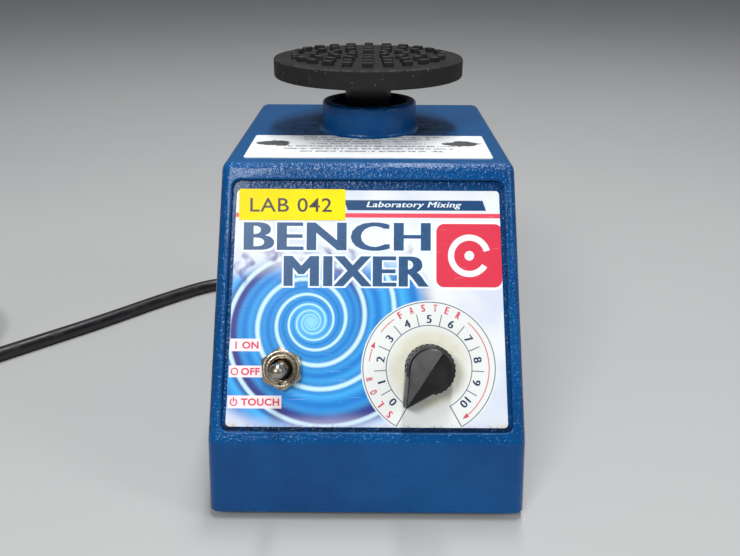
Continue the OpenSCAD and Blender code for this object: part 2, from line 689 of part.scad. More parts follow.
module hub_set_screw() color([0.30, 0.30, 0.32])
    at_drive(hub_z + hub_stem_h/2) rotate([0, 90, orbit_rest])
        translate([0, 0, shaft_r]) cylinder(r = 1.5, h = 5, $fn = small);
module weight_holes(r, depth)
    at_drive(hub_flange_z) rotate([0, 0, orbit_rest + 180]) for (a = [-28, 28]) rotate([0, 0, a])
        translate([weight_screw_at, 0, -weight_t - eps]) cylinder(r = r, h = weight_t + depth, $fn = small);
weight_span = 55;
module counterweight() color([0.55, 0.52, 0.42])
    difference() {
        at_drive(hub_flange_z - weight_t) rotate([0, 0, orbit_rest + 180 - weight_span])
            rotate_extrude(angle = 2*weight_span, $fn = fine)
                translate([hub_stem_r + 0.2, 0]) square([weight_r - hub_stem_r - 0.2, weight_t]);
        weight_holes(weight_screw_r, 1);
    }
module counterweight_screws() color([0.72, 0.72, 0.74])
    at_drive(hub_flange_z - weight_t) rotate([0, 0, orbit_rest + 180]) for (a = [-28, 28]) rotate([0, 0, a])
        translate([weight_screw_at, 0, 0]) pan_screw(weight_screw_r, weight_t + 1.4, 2.4, 1.2);
module head_bearing() color([0.70, 0.71, 0.73])
    at_head(bearing_z) tube(bearing_r, journal_r + run_gap, bearing_h, fine);

// ---- Head ----
module head_post() color([0.74, 0.75, 0.77])
    at_head() {
        translate([0, 0, bearing_z + 0.2]) cylinder(r = journal_r, h = hub_top - bearing_z, $fn = small);
        translate([0, 0, hub_top + 0.1]) cylinder(r = post_flange_r, h = shield_z - hub_top - 0.1, $fn = small);
        translate([0, 0, shield_z]) cylinder(r = post_r, h = post_top - shield_z, $fn = small);
    }
module dust_shield() color([0.10, 0.10, 0.10])
    at_head(shield_z) tube(shield_r, post_r, shield_t, fine);
cover_t = 3.1;                     // rubber above the plate
cover_wall = 2.2;
cover_lip = 1;
plate_r = platform_r - cover_wall;
plate_bottom = platform_z + cover_lip;
plate_high = platform_z + platform_t - cover_t;
module platform_plate() color([0.08, 0.08, 0.08])
    at_head() difference() {
        union() {
            translate([0, 0, neck_z]) cylinder(r = neck_r, h = plate_bottom - neck_z + 1, $fn = small);
            translate([0, 0, plate_bottom]) cylinder(r = plate_r, h = plate_high - plate_bottom, $fn = fine);
            translate([0, 0, platform_z - 2.5]) cylinder(r1 = neck_r, r2 = neck_r + 3, h = 3.6, $fn = small);
        }
        translate([0, 0, neck_z - eps]) cylinder(r = post_r + run_gap, h = post_top - neck_z + 0.3, $fn = small);
    }
nub_pitch = 8;                     // from ring to ring
nub_step = 8.4;                    // along a ring
nub_rings = 4;
nub_out = platform_r - 9;
nub_l = 4.4;
nub_w = 3.2;
module platform_cover() color([0.20, 0.20, 0.21])
    at_head(platform_z) {
        rotate_extrude($fn = fine)
            polygon([[plate_r - 3.5, 0], [platform_r - 0.6, 0], [platform_r, 0.6],
                     [platform_r - 0.3, platform_t - 0.6], [platform_r - 1.1, platform_t],
                     [0, platform_t], [0, platform_t - cover_t], [plate_r, platform_t - cover_t],
                     [plate_r, cover_lip], [plate_r - 3.5, cover_lip]]);
        for (i = [0:nub_rings - 1])
            let (r = nub_out - i*nub_pitch, n = round(2*PI*r/nub_step))
            for (k = [0:n - 1]) rotate([0, 0, 360*k/n])
                translate([r - nub_w/2, -nub_l/2, platform_t - 0.5]) cube([nub_w, nub_l, nub_h + 0.5]);
    }

// ---- Speed controller ----
board_w = 70;
board_d = 36;
board_t = 1.6;
spacer_h = 6;
board_y = front_y + wall + 7 + board_d/2;
board_z = plate_top + spacer_h;
board_corners = [for (x = [-1, 1], y = [-1, 1]) [x*(board_w/2 - 4), y*(board_d/2 - 4)]];
module on_board(z = 0) translate([0, board_y, board_z + z]) children();
module control_board() color([0.10, 0.38, 0.18])
    on_board() difference() {
        linear_extrude(board_t) polygon(rounded(rectangle(board_w, board_d), 2));
        for (p = board_corners) translate([p[0], p[1], -eps]) cylinder(r = 1.5, h = board_t + 2*eps, $fn = small);
    }
module board_spacers() color([0.80, 0.80, 0.76])
    on_board(-spacer_h) for (p = board_corners) translate([p[0], p[1], 0]) {
        cylinder(r = 3, h = spacer_h, $fn = small);
        cylinder(r = 1.5, h = spacer_h + board_t + 1.5, $fn = small);
        translate([0, 0, spacer_h + board_t]) cylinder(r = 2.6, h = 1.5, $fn = small);
    }
module power_triac() color([0.35, 0.36, 0.38])
    on_board(board_t) {
        translate([-14, 8, 0]) difference() {
            cube([24, 6, 18]);
            for (i = [0:3]) translate([2 + 6*i, 2.4, -1]) cube([3, 4, 20]);
        }
        translate([-7, 3.5, 2]) cube([10, 4.5, 14]);
        for (i = [0:2]) translate([-5.4 + 2.54*i, 5, 0]) cube([0.8, 0.6, 2.5]);
    }
module board_capacitors() color([0.75, 0.62, 0.20])
    on_board(board_t) {
        translate([-30, -6, 0]) cube([12, 8, 14]);
        translate([-6, -13, 0]) cube([13, 6, 11]);
        translate([14, -7, 0]) cylinder(r = 5, h = 12, $fn = small);
    }
module terminal_block() color([0.20, 0.42, 0.30])
    on_board(board_t) translate([17, 0, 0]) difference() {
        cube([10, 12, 10]);
        for (i = [0:1]) {
            translate([5, 3.2 + 5.6*i, 4]) cylinder(r = 1.8, h = 8, $fn = small);
            translate([-1, 1.7 + 5.6*i, 1]) cube([4, 3, 3]);
        }
    }

// ---- Mains cord ----
// It leaves the back, lies on the bench to the left, and is wound up there.
relief_y = exit_y + relief_len;
module strain_relief() color([0.06, 0.06, 0.06])
    translate([0, exit_y, exit_z]) rotate([-90, 0, 0]) difference() {
        union() {
            translate([0, 0, -wall - 3]) cylinder(r = gland_r, h = wall + 3.5, $fn = small);
            translate([0, 0, -wall - 3]) cylinder(r = gland_r + 1.6, h = 2.5, $fn = small);
            cylinder(r = gland_r + 2, h = 3, $fn = small);
            translate([0, 0, 3 - eps]) cylinder(r1 = gland_r + 1, r2 = cord_r + 0.9, h = relief_len - 3, $fn = small);
        }
        translate([0, 0, -wall - 4]) cylinder(r = cord_r, h = relief_len + wall + 5, $fn = small);
    }
// The route from the strain relief to the coil, after its first point chosen by hand
cord_route = [
    [0, relief_y, exit_z], [0, 118, 19], [-3, 125, 15], [-9, 132, 10], [-18, 138, 6], [-30, 141.5, 3.75],
    [-46, 143, 3.75], [-62, 142.5, 3.75], [-78, 141, 3.75], [-93, 138, 3.75], [-105, 132.5, 3.75],
    [-118, 121.5, 3.75], [-133, 106.5, 3.75], [-147, 91.5, 3.75], [-161, 77, 3.75],
    [-175, 63.5, 3.75], [-189, 50, 3.75], [-203, 36.5, 3.75], [-216, 24, 3.75]];
coil_x = -265;
coil_y = 47.8;
coil_turn_r = 44;
coil_cols = 3;
coil_rows = 2;
coil_in = coil_turn_r - coil_cols*cord_r;
coil_out = coil_turn_r + coil_cols*cord_r;
coil_h = 2*coil_rows*cord_r;
tail_x = coil_x + coil_out - cord_r;
tail_z = plug_r;
plug_y = 9;                        // where the cord enters the plug's sleeve
// From the top turn up to the middle of the plug, which lies on the bench
tail_route = [[tail_x, coil_y, coil_h - cord_r], [tail_x, 41.3, 11.87], [tail_x, 34.9, 13.73],
              [tail_x, 28.4, 16.52], [tail_x, 21.9, 18.38], [tail_x, plug_y + 6.5, tail_z],
              [tail_x, plug_y, tail_z]];

// A round tube along a list of points, with flat ends
tube_sides = 10;
function along(pts, i) =
    unit(pts[min(i + 1, len(pts) - 1)] - pts[max(i - 1, 0)]);
function ring(c, d, r) =
    let (side = unit(cross(d, [0, 0, 1])), up = cross(side, d))
    [for (k = [0:tube_sides - 1]) let (a = 360*k/tube_sides) c + r*(cos(a)*side + sin(a)*up)];
module swept_tube(pts, r) {
    n = tube_sides;
    rings = len(pts);
    polyhedron(
        points = [for (i = [0:rings - 1]) each ring(pts[i], along(pts, i), r)],
        faces = concat(
            [[for (k = [0:n - 1]) k]],
            [for (i = [0:rings - 2], k = [0:n - 1])
                each [[i*n + k, i*n + n + k, i*n + n + (k + 1) % n],
                      [i*n + k, i*n + n + (k + 1) % n, i*n + (k + 1) % n]]],
            [[for (k = [0:n - 1]) rings*n - 1 - k]]));
}
// Two more rings in each stretch, on a smooth curve through the route's points
function curve(a, b, c, d, t) =
    0.5*(2*b + (c - a)*t + (2*a - 5*b + 4*c - d)*t*t + (3*b - a - 3*c + d)*t*t*t);
function smooth(pts) =
    [for (i = [0:len(pts) - 2], t = [0, 0.5])
        curve(pts[max(i - 1, 0)], pts[i], pts[i + 1], pts[min(i + 2, len(pts) - 1)], t),
     pts[len(pts) - 1]];
module power_cord() color([0.06, 0.06, 0.06]) swept_tube(smooth(cord_route), cord_r);
module cord_coil() color([0.06, 0.06, 0.06])
    translate([coil_x, coil_y, 0]) rotate_extrude($fn = fine)
        polygon([[coil_in, 1.2], [coil_in + 1.2, 0], [coil_out - 1.2, 0], [coil_out, 1.2],
                 [coil_out, coil_h - 1.2], [coil_out - 1.2, coil_h], [coil_in + 1.2, coil_h],
                 [coil_in, coil_h - 1.2]]);
module cord_tail() color([0.06, 0.06, 0.06]) swept_tube(tail_route, cord_r);
tie_w = 8;
tie_t = 1;
module cord_tie() color([0.15, 0.15, 0.16])
    translate([coil_x - coil_turn_r, coil_y, coil_h/2]) rotate([-90, 0, 0]) translate([0, 0, -tie_w/2])
        linear_extrude(tie_w) difference() {
            polygon(rounded(rectangle(coil_out - coil_in + 2*tie_t, coil_h + 2*tie_t - 1.9), 2));
            polygon(rounded(rectangle(coil_out - coil_in, coil_h - 2), 1.2));
        }
sleeve_len = 22;
plug_len = 42;
pin_x = 9.5;
pin_r = 2.4;
pin_len = 18;
pin_root = 3;                      // how far a pin is held in the plug
pin_root_r = 2;
module along_plug(y) translate([tail_x, plug_y - y, tail_z]) rotate([90, 0, 0]) children();
module plug_body() color([0.06, 0.06, 0.06]) {
    along_plug(0) difference() {
        union() {
            cylinder(r1 = cord_r + 1, r2 = 8, h = sleeve_len, $fn = small);
            translate([0, 0, sleeve_len - eps]) cylinder(r1 = 12, r2 = plug_r - 1.5, h = 14, $fn = fine);
            translate([0, 0, sleeve_len + 14 - 2*eps]) cylinder(r = plug_r, h = plug_len - 14, $fn = fine);
        }
        for (side = [-1, 1]) translate([side*pin_x, 0, sleeve_len + plug_len - pin_root])
            cylinder(r = pin_root_r, h = pin_root + 1, $fn = small);
        translate([0, pin_x, sleeve_len + plug_len - 16]) cylinder(r = 2.5, h = 17, $fn = small);
    }
}
module plug_pins() color([0.80, 0.80, 0.78])
    for (side = [-1, 1]) along_plug(sleeve_len + plug_len) translate([side*pin_x, 0, 0]) {
        translate([0, 0, -pin_root]) cylinder(r = pin_root_r, h = pin_root + 1, $fn = small);
        cylinder(r = pin_r, h = pin_len, $fn = small);
        translate([0, 0, pin_len - eps]) cylinder(r1 = pin_r, r2 = pin_r - 0.9, h = 1, $fn = small);
    }

housing();
base_plate();
base_screws();
rubber_feet();
front_label();
top_label();
asset_tag();
collar_seal();
toggle_body();
toggle_bushing();
toggle_washer();
toggle_nut();
toggle_lever();
pot_body();
pot_bushing();
pot_nut();
pot_shaft();
speed_knob();
knob_set_screw();
motor_standoffs();
vibration_mounts();
lower_bell();
lower_bearing();
stator_core();
field_coils();
upper_bell();
upper_bearing();
through_bolts();
thrust_guide();
touch_spring();
thrust_plunger();
thrust_ball();
microswitch_bracket();
microswitch_body();
microswitch_button();
motor_shaft();
rotor_core();
cooling_fan();
eccentric_hub();
hub_set_screw();
counterweight();
counterweight_screws();
head_bearing();
head_post();
dust_shield();
platform_plate();
platform_cover();
control_board();
board_spacers();
power_triac();
board_capacitors();
terminal_block();
strain_relief();
power_cord();
cord_coil();
cord_tail();
cord_tie();
plug_body();
plug_pins();
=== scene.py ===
# %% [markdown]
# # A bench vortex mixer
# The mixer is a heavy cast box with a sloped control panel, a toggle switch and a speed dial on it,
# and a rubber platform on top that orbits a few millimetres. Everything that a hand or an eye meets
# is modelled again here, finely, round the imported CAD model, which stays the frame for size and motion.

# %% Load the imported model
import json
import math
import random

import bmesh
import bpy
from mathutils import Matrix, Vector


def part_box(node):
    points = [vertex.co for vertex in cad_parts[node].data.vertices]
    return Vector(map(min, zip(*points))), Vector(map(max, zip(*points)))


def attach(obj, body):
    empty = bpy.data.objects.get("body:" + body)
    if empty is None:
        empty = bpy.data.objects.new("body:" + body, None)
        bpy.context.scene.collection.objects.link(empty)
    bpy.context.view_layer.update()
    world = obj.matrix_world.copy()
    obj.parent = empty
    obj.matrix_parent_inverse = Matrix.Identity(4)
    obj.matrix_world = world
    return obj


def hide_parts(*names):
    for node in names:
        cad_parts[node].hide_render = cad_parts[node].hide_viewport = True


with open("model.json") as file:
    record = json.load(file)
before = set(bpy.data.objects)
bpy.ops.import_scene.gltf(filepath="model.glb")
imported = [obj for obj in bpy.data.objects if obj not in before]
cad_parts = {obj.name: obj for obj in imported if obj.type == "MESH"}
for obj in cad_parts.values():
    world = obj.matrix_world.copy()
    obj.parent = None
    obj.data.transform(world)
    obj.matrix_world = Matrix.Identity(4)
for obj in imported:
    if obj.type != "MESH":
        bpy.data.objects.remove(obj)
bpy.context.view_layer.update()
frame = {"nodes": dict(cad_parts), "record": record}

# %% [markdown]
# ## Where things are
# Sizes are easiest to read in millimetres, and Blender works in metres, so one small helper turns
# the first into the second. The panel leans back, so it gets a frame of its own: x to the right,
# s up the slope from its lower edge, h straight out of it. The dial's joint gives its tilt and place.

# %% Millimetres and the panel's own frame
MM = 0.001


def mm(*values):
    """A point or a size given in millimetres."""
    return Vector(values) * MM


def shift(*values):
    """A move given in millimetres."""
    return Matrix.Translation(mm(*values))


joints = {joint["name"]: joint for joint in frame["record"]["behaviour"]["joints"]}
DIAL_UP = 28.05
dial_point = Vector(joints["speed_knob_turn"]["pos_m"])
NORMAL = -Vector(joints["speed_knob_turn"]["axis"]).normalized()
RIGHT = Vector((1, 0, 0))
UP = NORMAL.cross(RIGHT)
KNEE = dial_point - RIGHT * dial_point.x - UP * DIAL_UP * MM
DIAL_X = dial_point.x / MM
ON_PANEL = Matrix((RIGHT, UP, NORMAL)).transposed().to_4x4()
ON_PANEL.translation = KNEE
PANEL_TILT = math.degrees(math.atan2(UP.z, UP.y))
toggle_point = Vector(joints["toggle_lever_tilt"]["pos_m"])
TOGGLE_X = toggle_point.x / MM
TOGGLE_UP = (toggle_point - KNEE).dot(UP) / MM
TOGGLE_PIVOT = (toggle_point - KNEE).dot(NORMAL) / MM
print("panel slope", round(PANEL_TILT, 2), "switch at", round(TOGGLE_X, 2), round(TOGGLE_UP, 2))

# %% Heights and middles of the casting
def extent(node):
    """A node's lowest and highest corners, in millimetres."""
    return [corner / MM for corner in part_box(node)]


body_low, body_high = extent("housing")
BOTTOM = body_low.z
TOP = extent("top_label")[0].z
COLLAR_TOP = body_high.z
seal_low, seal_high = extent("collar_seal")
DRIVE = (seal_low + seal_high) / 2
cover_low, cover_high = extent("platform_cover")
HEAD = (cover_low + cover_high) / 2
relief_low, relief_high = extent("strain_relief")
EXIT_Z = (relief_low.z + relief_high.z) / 2
print("top face", TOP, "drive axis", DRIVE.xy, "platform axis", HEAD.xy)

# %% [markdown]
# ## Camera
# The camera stands in front and a little above, with a lens of about 38 mm.
# A camera turns with a matrix: a lean about X first, then small turns about Z.

# %% Camera
bpy.ops.object.camera_add()
camera = bpy.context.object
camera.data.lens = 38.49
camera.data.sensor_width = 36
CAMERA_AT = Vector((0.00207, -0.32837, 0.20785))
LOOK_DOWN = 23.183
turns = [(0.234, "Z"), (90 - LOOK_DOWN, "X"), (0.216, "Z")]
camera_turn = Matrix.Identity(4)
for degrees, axis in turns:
    camera_turn = camera_turn @ Matrix.Rotation(math.radians(degrees), 4, axis)
camera.matrix_world = Matrix.Translation(CAMERA_AT) @ camera_turn
bpy.context.scene.camera = camera
print("camera at", tuple(camera.location))

# %% [markdown]
# ## Mains cord
# A mains cord is a fixed length of something flexible. It leaves the back through its strain relief,
# bends down to the bench, and runs off to the left, where the spare length is wound up for storage.
# A Bezier curve follows the route's points. Its round section is a bevel one metre deep, which the
# small radius of every point scales down to the cord's own, so that its bounding box stays true too.
# In the coil the cord works inwards in the lower layer, climbs, and works outwards in the upper one.

# %% The cord's route
CORD_R = 3.75
ROUTE = [
    (0, relief_high.y, EXIT_Z), (0, 118, 19), (-3, 125, 15), (-9, 132, 10), (-18, 138, 6),
    (-30, 141.5, CORD_R), (-46, 143, CORD_R), (-62, 142.5, CORD_R), (-78, 141, CORD_R),
    (-93, 138, CORD_R), (-105, 132.5, CORD_R), (-118, 121.5, CORD_R), (-133, 106.5, CORD_R),
    (-147, 91.5, CORD_R), (-161, 77, CORD_R), (-175, 63.5, CORD_R), (-189, 50, CORD_R),
    (-203, 36.5, CORD_R), (-216, 24, CORD_R)]
COIL_MIDDLE = (-265, 47.8)
COIL_R = 44
ENTRY_ANGLE = -47.1
COIL_TURNS = 5 + ENTRY_ANGLE / 360
POINTS_PER_TURN = 24
SHIFT = 0.16
INWARD = (0.80, 1.80)
UPWARD = 2.62
OUTWARD = (3.44, 4.44)
TAIL = [(41.3, 11.87), (34.9, 13.73), (28.4, 16.52), (21.9, 18.38), (15.5, 19), (9, 19)]


def eased(turn, begins):
    """From 0 to 1 over a short stretch of a turn."""
    t = min(max((turn - begins) / SHIFT, 0), 1)
    return t * t * (3 - 2 * t)


def coil_point(turn):
    """A point of the coil, so many turns clockwise from where the cord comes in."""
    angle = math.radians(ENTRY_ANGLE - 360 * turn)
    column = 1 - sum(eased(turn, t) for t in INWARD) + sum(eased(turn, t) for t in OUTWARD)
    radius = COIL_R + 2 * CORD_R * column
    height = CORD_R + 2 * CORD_R * eased(turn, UPWARD)
    return (COIL_MIDDLE[0] + radius * math.cos(angle), COIL_MIDDLE[1] + radius * math.sin(angle), height)


steps = math.ceil(COIL_TURNS * POINTS_PER_TURN)
coil = [coil_point(COIL_TURNS * step / steps) for step in range(steps + 1)]
tail_x = COIL_MIDDLE[0] + COIL_R + 2 * CORD_R
cord_points = ROUTE + coil + [(tail_x, y, z) for y, z in TAIL]
print(len(ROUTE), "points on the way,", len(coil), "in the coil")

# %% The cord
cord_curve = bpy.data.curves.new("power_cord_run", "CURVE")
cord_curve.dimensions = "3D"
cord_curve.bevel_depth = 1
cord_curve.bevel_resolution = 6
cord_curve.resolution_u = 5
cord_curve.use_fill_caps = True
spline = cord_curve.splines.new("BEZIER")
spline.bezier_points.add(len(cord_points) - 1)
points = [mm(*point) for point in cord_points]
for i, knot in enumerate(spline.bezier_points):
    before, after = points[max(i - 1, 0)], points[min(i + 1, len(points) - 1)]
    knot.handle_left_type = knot.handle_right_type = "FREE"
    knot.co = points[i]
    knot.radius = CORD_R * MM
    knot.handle_left = points[i] - (after - before) / 6
    knot.handle_right = points[i] + (after - before) / 6
power_cord = bpy.data.objects.new("power_cord_run", cord_curve)
bpy.context.collection.objects.link(power_cord)

# %% [markdown]
# ## Floor and light
# A plain pale floor and soft studio light. A wide lamp overhead does most of the work, as ceiling
# lights do, and smaller ones at the front and the side draw bright lines along the rounded edges.

# %% Floor
bpy.ops.mesh.primitive_plane_add(size=12)
floor = bpy.context.object
floor.name = "floor"

# %% Lights
def lamp(name, at, aim, size, watts, colour=(1, 1, 1)):
    """A soft rectangular lamp that points at a place."""
    bpy.ops.object.light_add(type="AREA", location=at)
    light = bpy.context.object
    light.name = name
    light.data.shape = "RECTANGLE"
    light.data.size, light.data.size_y = size
    light.data.energy = watts
    light.data.color = colour
    light.rotation_euler = (Vector(aim) - Vector(at)).to_track_quat("-Z", "Y").to_euler()
    return light


lamp("ceiling_lamp", (0.1, 0.0, 1.5), (0, 0, 0.1), (1.4, 0.14), 19)
lamp("front_lamp", (-0.46, -1.1, 0.95), (0, 0, 0.08), (0.42, 0.26), 11, (1, 0.99, 0.97))
lamp("side_lamp", (1.1, -0.55, 0.8), (0, 0, 0.08), (0.3, 0.5), 4, (0.95, 0.98, 1))
world = bpy.data.worlds.new("soft_room")
world.use_nodes = True
world.node_tree.nodes["Background"].inputs["Color"].default_value = (0.80, 0.84, 0.90, 1)
world.node_tree.nodes["Background"].inputs["Strength"].default_value = 0.24
bpy.context.scene.world = world
bpy.context.scene.view_settings.view_transform = "Standard"

# %% [markdown]
# ## Helpers for modelling by hand
# The pieces are made with the same operators as in the viewport. An operator acts on whatever is
# selected, so each piece starts from an empty selection, and faces and edges are picked in code by
# where they are. Round pieces are turned on a lathe: a line of points is drawn and then spun.

# %% Starting, picking and placing
def start():
    """Leaves edit mode and selects nothing."""
    if bpy.context.object and bpy.context.object.mode != "OBJECT":
        bpy.ops.object.mode_set(mode="OBJECT")
    bpy.ops.object.select_all(action="DESELECT")


def take(*pieces):
    """Selects these pieces alone, the first one active."""
    start()
    for piece in pieces:
        piece.select_set(True)
    bpy.context.view_layer.objects.active = pieces[0]
    return pieces[0]


def edit(piece):
    """Opens a piece in edit mode with everything selected."""
    take(piece)
    bpy.ops.object.mode_set(mode="EDIT")
    bpy.ops.mesh.select_mode(type="VERT")
    bpy.ops.mesh.select_all(action="SELECT")


def choose(kind, test):
    """In edit mode, selects the vertices, edges or faces that pass a test."""
    mesh = bmesh.from_edit_mesh(bpy.context.object.data)
    bpy.ops.mesh.select_all(action="DESELECT")
    bpy.ops.mesh.select_mode(type={"verts": "VERT", "edges": "EDGE", "faces": "FACE"}[kind])
    for item in getattr(mesh, kind):
        if test(item):
            item.select_set(True)
    mesh.select_flush_mode()
    bmesh.update_edit_mesh(bpy.context.object.data)


def added(name):
    """The primitive that was just added, named, with its place moved into its mesh."""
    piece = bpy.context.object
    piece.name = piece.data.name = name
    bpy.ops.object.transform_apply(location=True, rotation=True, scale=True)
    return piece


def place(piece, matrix):
    """Moves a piece that was made at the origin to where it belongs, for good."""
    take(piece)
    piece.matrix_world = matrix @ piece.matrix_world
    bpy.ops.object.transform_apply(location=True, rotation=True, scale=True)
    return piece


def at_panel(x, s, h=0, turn=0):
    """The place of something that stands on the panel."""
    return ON_PANEL @ shift(x, s, h) @ Matrix.Rotation(math.radians(turn), 4, "Z")


# %% Turning, rounding, cutting and joining
def clean(piece):
    """Merges doubled vertices and turns every face outwards."""
    edit(piece)
    bpy.ops.mesh.remove_doubles(threshold=0.000002)
    bpy.ops.mesh.normals_make_consistent(inside=False)
    start()
    return piece


def turned(name, profile, steps=96):
    """A piece turned round the Z axis. The profile is (radius, height) in millimetres."""
    start()
    bpy.ops.mesh.primitive_plane_add(size=MM, location=mm(profile[0][0], 0, profile[0][1]))
    piece = added(name)
    edit(piece)
    bpy.ops.mesh.merge(type="CENTER")
    for (r, z), (next_r, next_z) in zip(profile, profile[1:]):
        move = {"value": mm(next_r - r, 0, next_z - z)}
        bpy.ops.mesh.extrude_region_move(TRANSFORM_OT_translate=move)
    bpy.ops.mesh.select_all(action="SELECT")
    bpy.ops.mesh.spin(steps=steps, angle=2 * math.pi, center=(0, 0, 0), axis=(0, 0, 1))
    return clean(piece)


def apply_modifier(piece, kind, **settings):
    """Adds a modifier with these settings and applies it."""
    take(piece)
    modifier = piece.modifiers.new(kind.lower(), kind)
    for key, value in settings.items():
        setattr(modifier, key, value)
    bpy.ops.object.modifier_apply(modifier=modifier.name)
    return piece


def bevel(piece, width, segments=2, angle=30):
    """Rounds the edges that turn by more than an angle."""
    return apply_modifier(piece, "BEVEL", width=width * MM, segments=segments,
                          limit_method="ANGLE", angle_limit=math.radians(angle))


def carve(piece, tool, operation="DIFFERENCE"):
    """Cuts a tool out of a piece, or adds it, and throws the tool away."""
    apply_modifier(piece, "BOOLEAN", object=tool, operation=operation, solver="EXACT")
    bpy.data.objects.remove(tool, do_unlink=True)
    return piece


def shade(piece, angle=30):
    """Smooth shading that keeps flat faces flat and sharp edges sharp."""
    take(piece)
    bpy.ops.object.shade_smooth_by_angle(angle=math.radians(angle))
    return apply_modifier(piece, "WEIGHTED_NORMAL", keep_sharp=True, weight=80)


def copied(piece, matrix, name="copy"):
    """A copy with its own mesh, moved."""
    twin = piece.copy()
    twin.data = piece.data.copy()
    twin.name = name
    bpy.context.collection.objects.link(twin)
    return place(twin, matrix)


def joined(name, pieces):
    """Several pieces made one."""
    take(*pieces)
    if len(pieces) > 1:
        bpy.ops.object.join()
    piece = bpy.context.object
    piece.name = piece.data.name = name
    return piece


def drum(radius, low, high, sides=96):
    """A plain round tool for cutting, upright on the Z axis."""
    start()
    bpy.ops.mesh.primitive_cylinder_add(vertices=sides, radius=radius * MM, depth=(high - low) * MM,
                                        location=mm(0, 0, (low + high) / 2))
    return added("tool")


def repeated(name, piece, places):
    """Copies of one piece at several places, joined. The first one is thrown away."""
    copies = [copied(piece, matrix) for matrix in places]
    bpy.data.objects.remove(piece, do_unlink=True)
    return joined(name, copies)


# %% Belonging
def belongs(piece, body, slot, *nodes):
    """Says what moves a piece and which CAD nodes it stands for. The slot is not used."""
    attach(piece, body)
    if nodes:
        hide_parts(*nodes)
    print(piece.name, "rides on", body, "and has", len(getattr(piece.data, "polygons", [])), "faces")
    return piece


# %% [markdown]
# ## Housing
# The housing is an aluminium casting under hammered blue enamel. A block is sawn along the planes of
# the casting, which lean a little so that it could leave its mould, its edges are rounded by the
# amount that gives each the same radius, and a smaller block is taken out of the middle.

# %% The casting's planes
EDGE_R = 4
WALL = 4
FRONT_DRAFT, SIDE_DRAFT, BACK_DRAFT = (math.radians(a) for a in (1.7, 2.35, 0.8))


def leaning(y_sign, x_sign, draft):
    """The outward direction of a wall that leans inwards as it rises."""
    return Vector((x_sign * math.cos(draft), y_sign * math.cos(draft), math.sin(draft)))


PLANES = [
    (mm(0, body_low.y, BOTTOM), leaning(-1, 0, FRONT_DRAFT)),
    (KNEE, NORMAL),
    (mm(0, 0, TOP), Vector((0, 0, 1))),
    (mm(0, body_high.y, BOTTOM), leaning(1, 0, BACK_DRAFT)),
    (mm(body_low.x, 0, BOTTOM), leaning(0, -1, SIDE_DRAFT)),
    (mm(body_high.x, 0, BOTTOM), leaning(0, 1, SIDE_DRAFT))]


def sawn_block(name, planes):
    """A block sawn off along each plane."""
    start()
    bpy.ops.mesh.primitive_cube_add(size=0.4)
    block = added(name)
    for point, outward in planes:
        edit(block)
        bpy.ops.mesh.bisect(plane_co=point, plane_no=outward, use_fill=True, clear_outer=True)
    return clean(block)


# %% Round the edges, each to the same radius
def round_block(block, radius, segments):
    """An edge that turns little needs a narrow bevel, and a square one a wide bevel."""
    edit(block)
    mesh = bmesh.from_edit_mesh(block.data)
    weight = mesh.edges.layers.float.new("bevel_weight_edge")
    for edge in mesh.edges:
        under = any(face.normal.z < -0.9 for face in edge.link_faces)
        edge[weight] = 0 if under else math.tan(edge.calc_face_angle() / 2)
    bmesh.update_edit_mesh(block.data)
    return apply_modifier(block, "BEVEL", width=radius * MM, segments=segments,
                          limit_method="WEIGHT", use_clamp_overlap=False)


housing = sawn_block("housing_shell", PLANES + [(mm(0, 0, BOTTOM), Vector((0, 0, -1)))])
round_block(housing, EDGE_R, 6)
inner_planes = [(point - outward * WALL * MM, outward) for point, outward in PLANES]
hollow = sawn_block("tool", inner_planes + [(mm(0, 0, BOTTOM - 10), Vector((0, 0, -1)))])
round_block(hollow, 1, 2)
carve(housing, hollow)
print("casting walls:", len(housing.data.polygons), "faces")

# %% [markdown]
# ### Recess, holes and collar
# The label sits in a shallow recess. Its cutter is a rounded plate whose rim flares out at the
# surface, so that the cut leaves a soft edge that catches the light, as thick enamel does.

# %% Recess for the label
RECESS_LOW, RECESS_HIGH, RECESS_DEPTH = 4.2, 99.1, 2
LOW_HALF, HIGH_HALF = 54.82, 51.32
RIM_SOFTNESS = 0.7


def recess_cutter():
    """A plate in the shape of the recess, drawn from above the surface down to its floor."""
    start()
    grow = RIM_SOFTNESS
    length = RECESS_HIGH - RECESS_LOW + 2 * grow
    middle = mm(0, (RECESS_LOW + RECESS_HIGH) / 2, 5)
    bpy.ops.mesh.primitive_plane_add(size=1, location=middle)
    plate = bpy.context.object
    plate.scale = (2 * (LOW_HALF + grow) * MM, length * MM, 1)
    plate = added("tool")
    edit(plate)
    choose("verts", lambda vertex: vertex.co.y > middle.y)
    narrower = (HIGH_HALF + grow) / (LOW_HALF + grow)
    bpy.ops.transform.resize(value=(narrower, 1, 1), center_override=(0, 0, 0))
    bpy.ops.mesh.select_all(action="SELECT")
    bpy.ops.mesh.bevel(offset=(3 + grow) * MM, segments=6, affect="VERTICES")
    bpy.ops.mesh.select_all(action="SELECT")
    bpy.ops.mesh.extrude_region_move(TRANSFORM_OT_translate={"value": mm(0, 0, -5)})
    quarter = [math.radians(a) for a in (0, 22.5, 45, 67.5, 90)]
    for a, b in zip(quarter, quarter[1:]):
        step_in = RIM_SOFTNESS * (math.sin(b) - math.sin(a))
        step_down = RIM_SOFTNESS * (math.cos(a) - math.cos(b))
        bpy.ops.mesh.inset(thickness=step_in * MM, depth=0)
        bpy.ops.transform.translate(value=mm(0, 0, -step_down))
    down = -(RECESS_DEPTH - RIM_SOFTNESS)
    bpy.ops.mesh.extrude_region_move(TRANSFORM_OT_translate={"value": mm(0, 0, down)})
    return place(clean(plate), ON_PANEL)


carve(housing, recess_cutter())
print("with its recess:", len(housing.data.polygons), "faces")

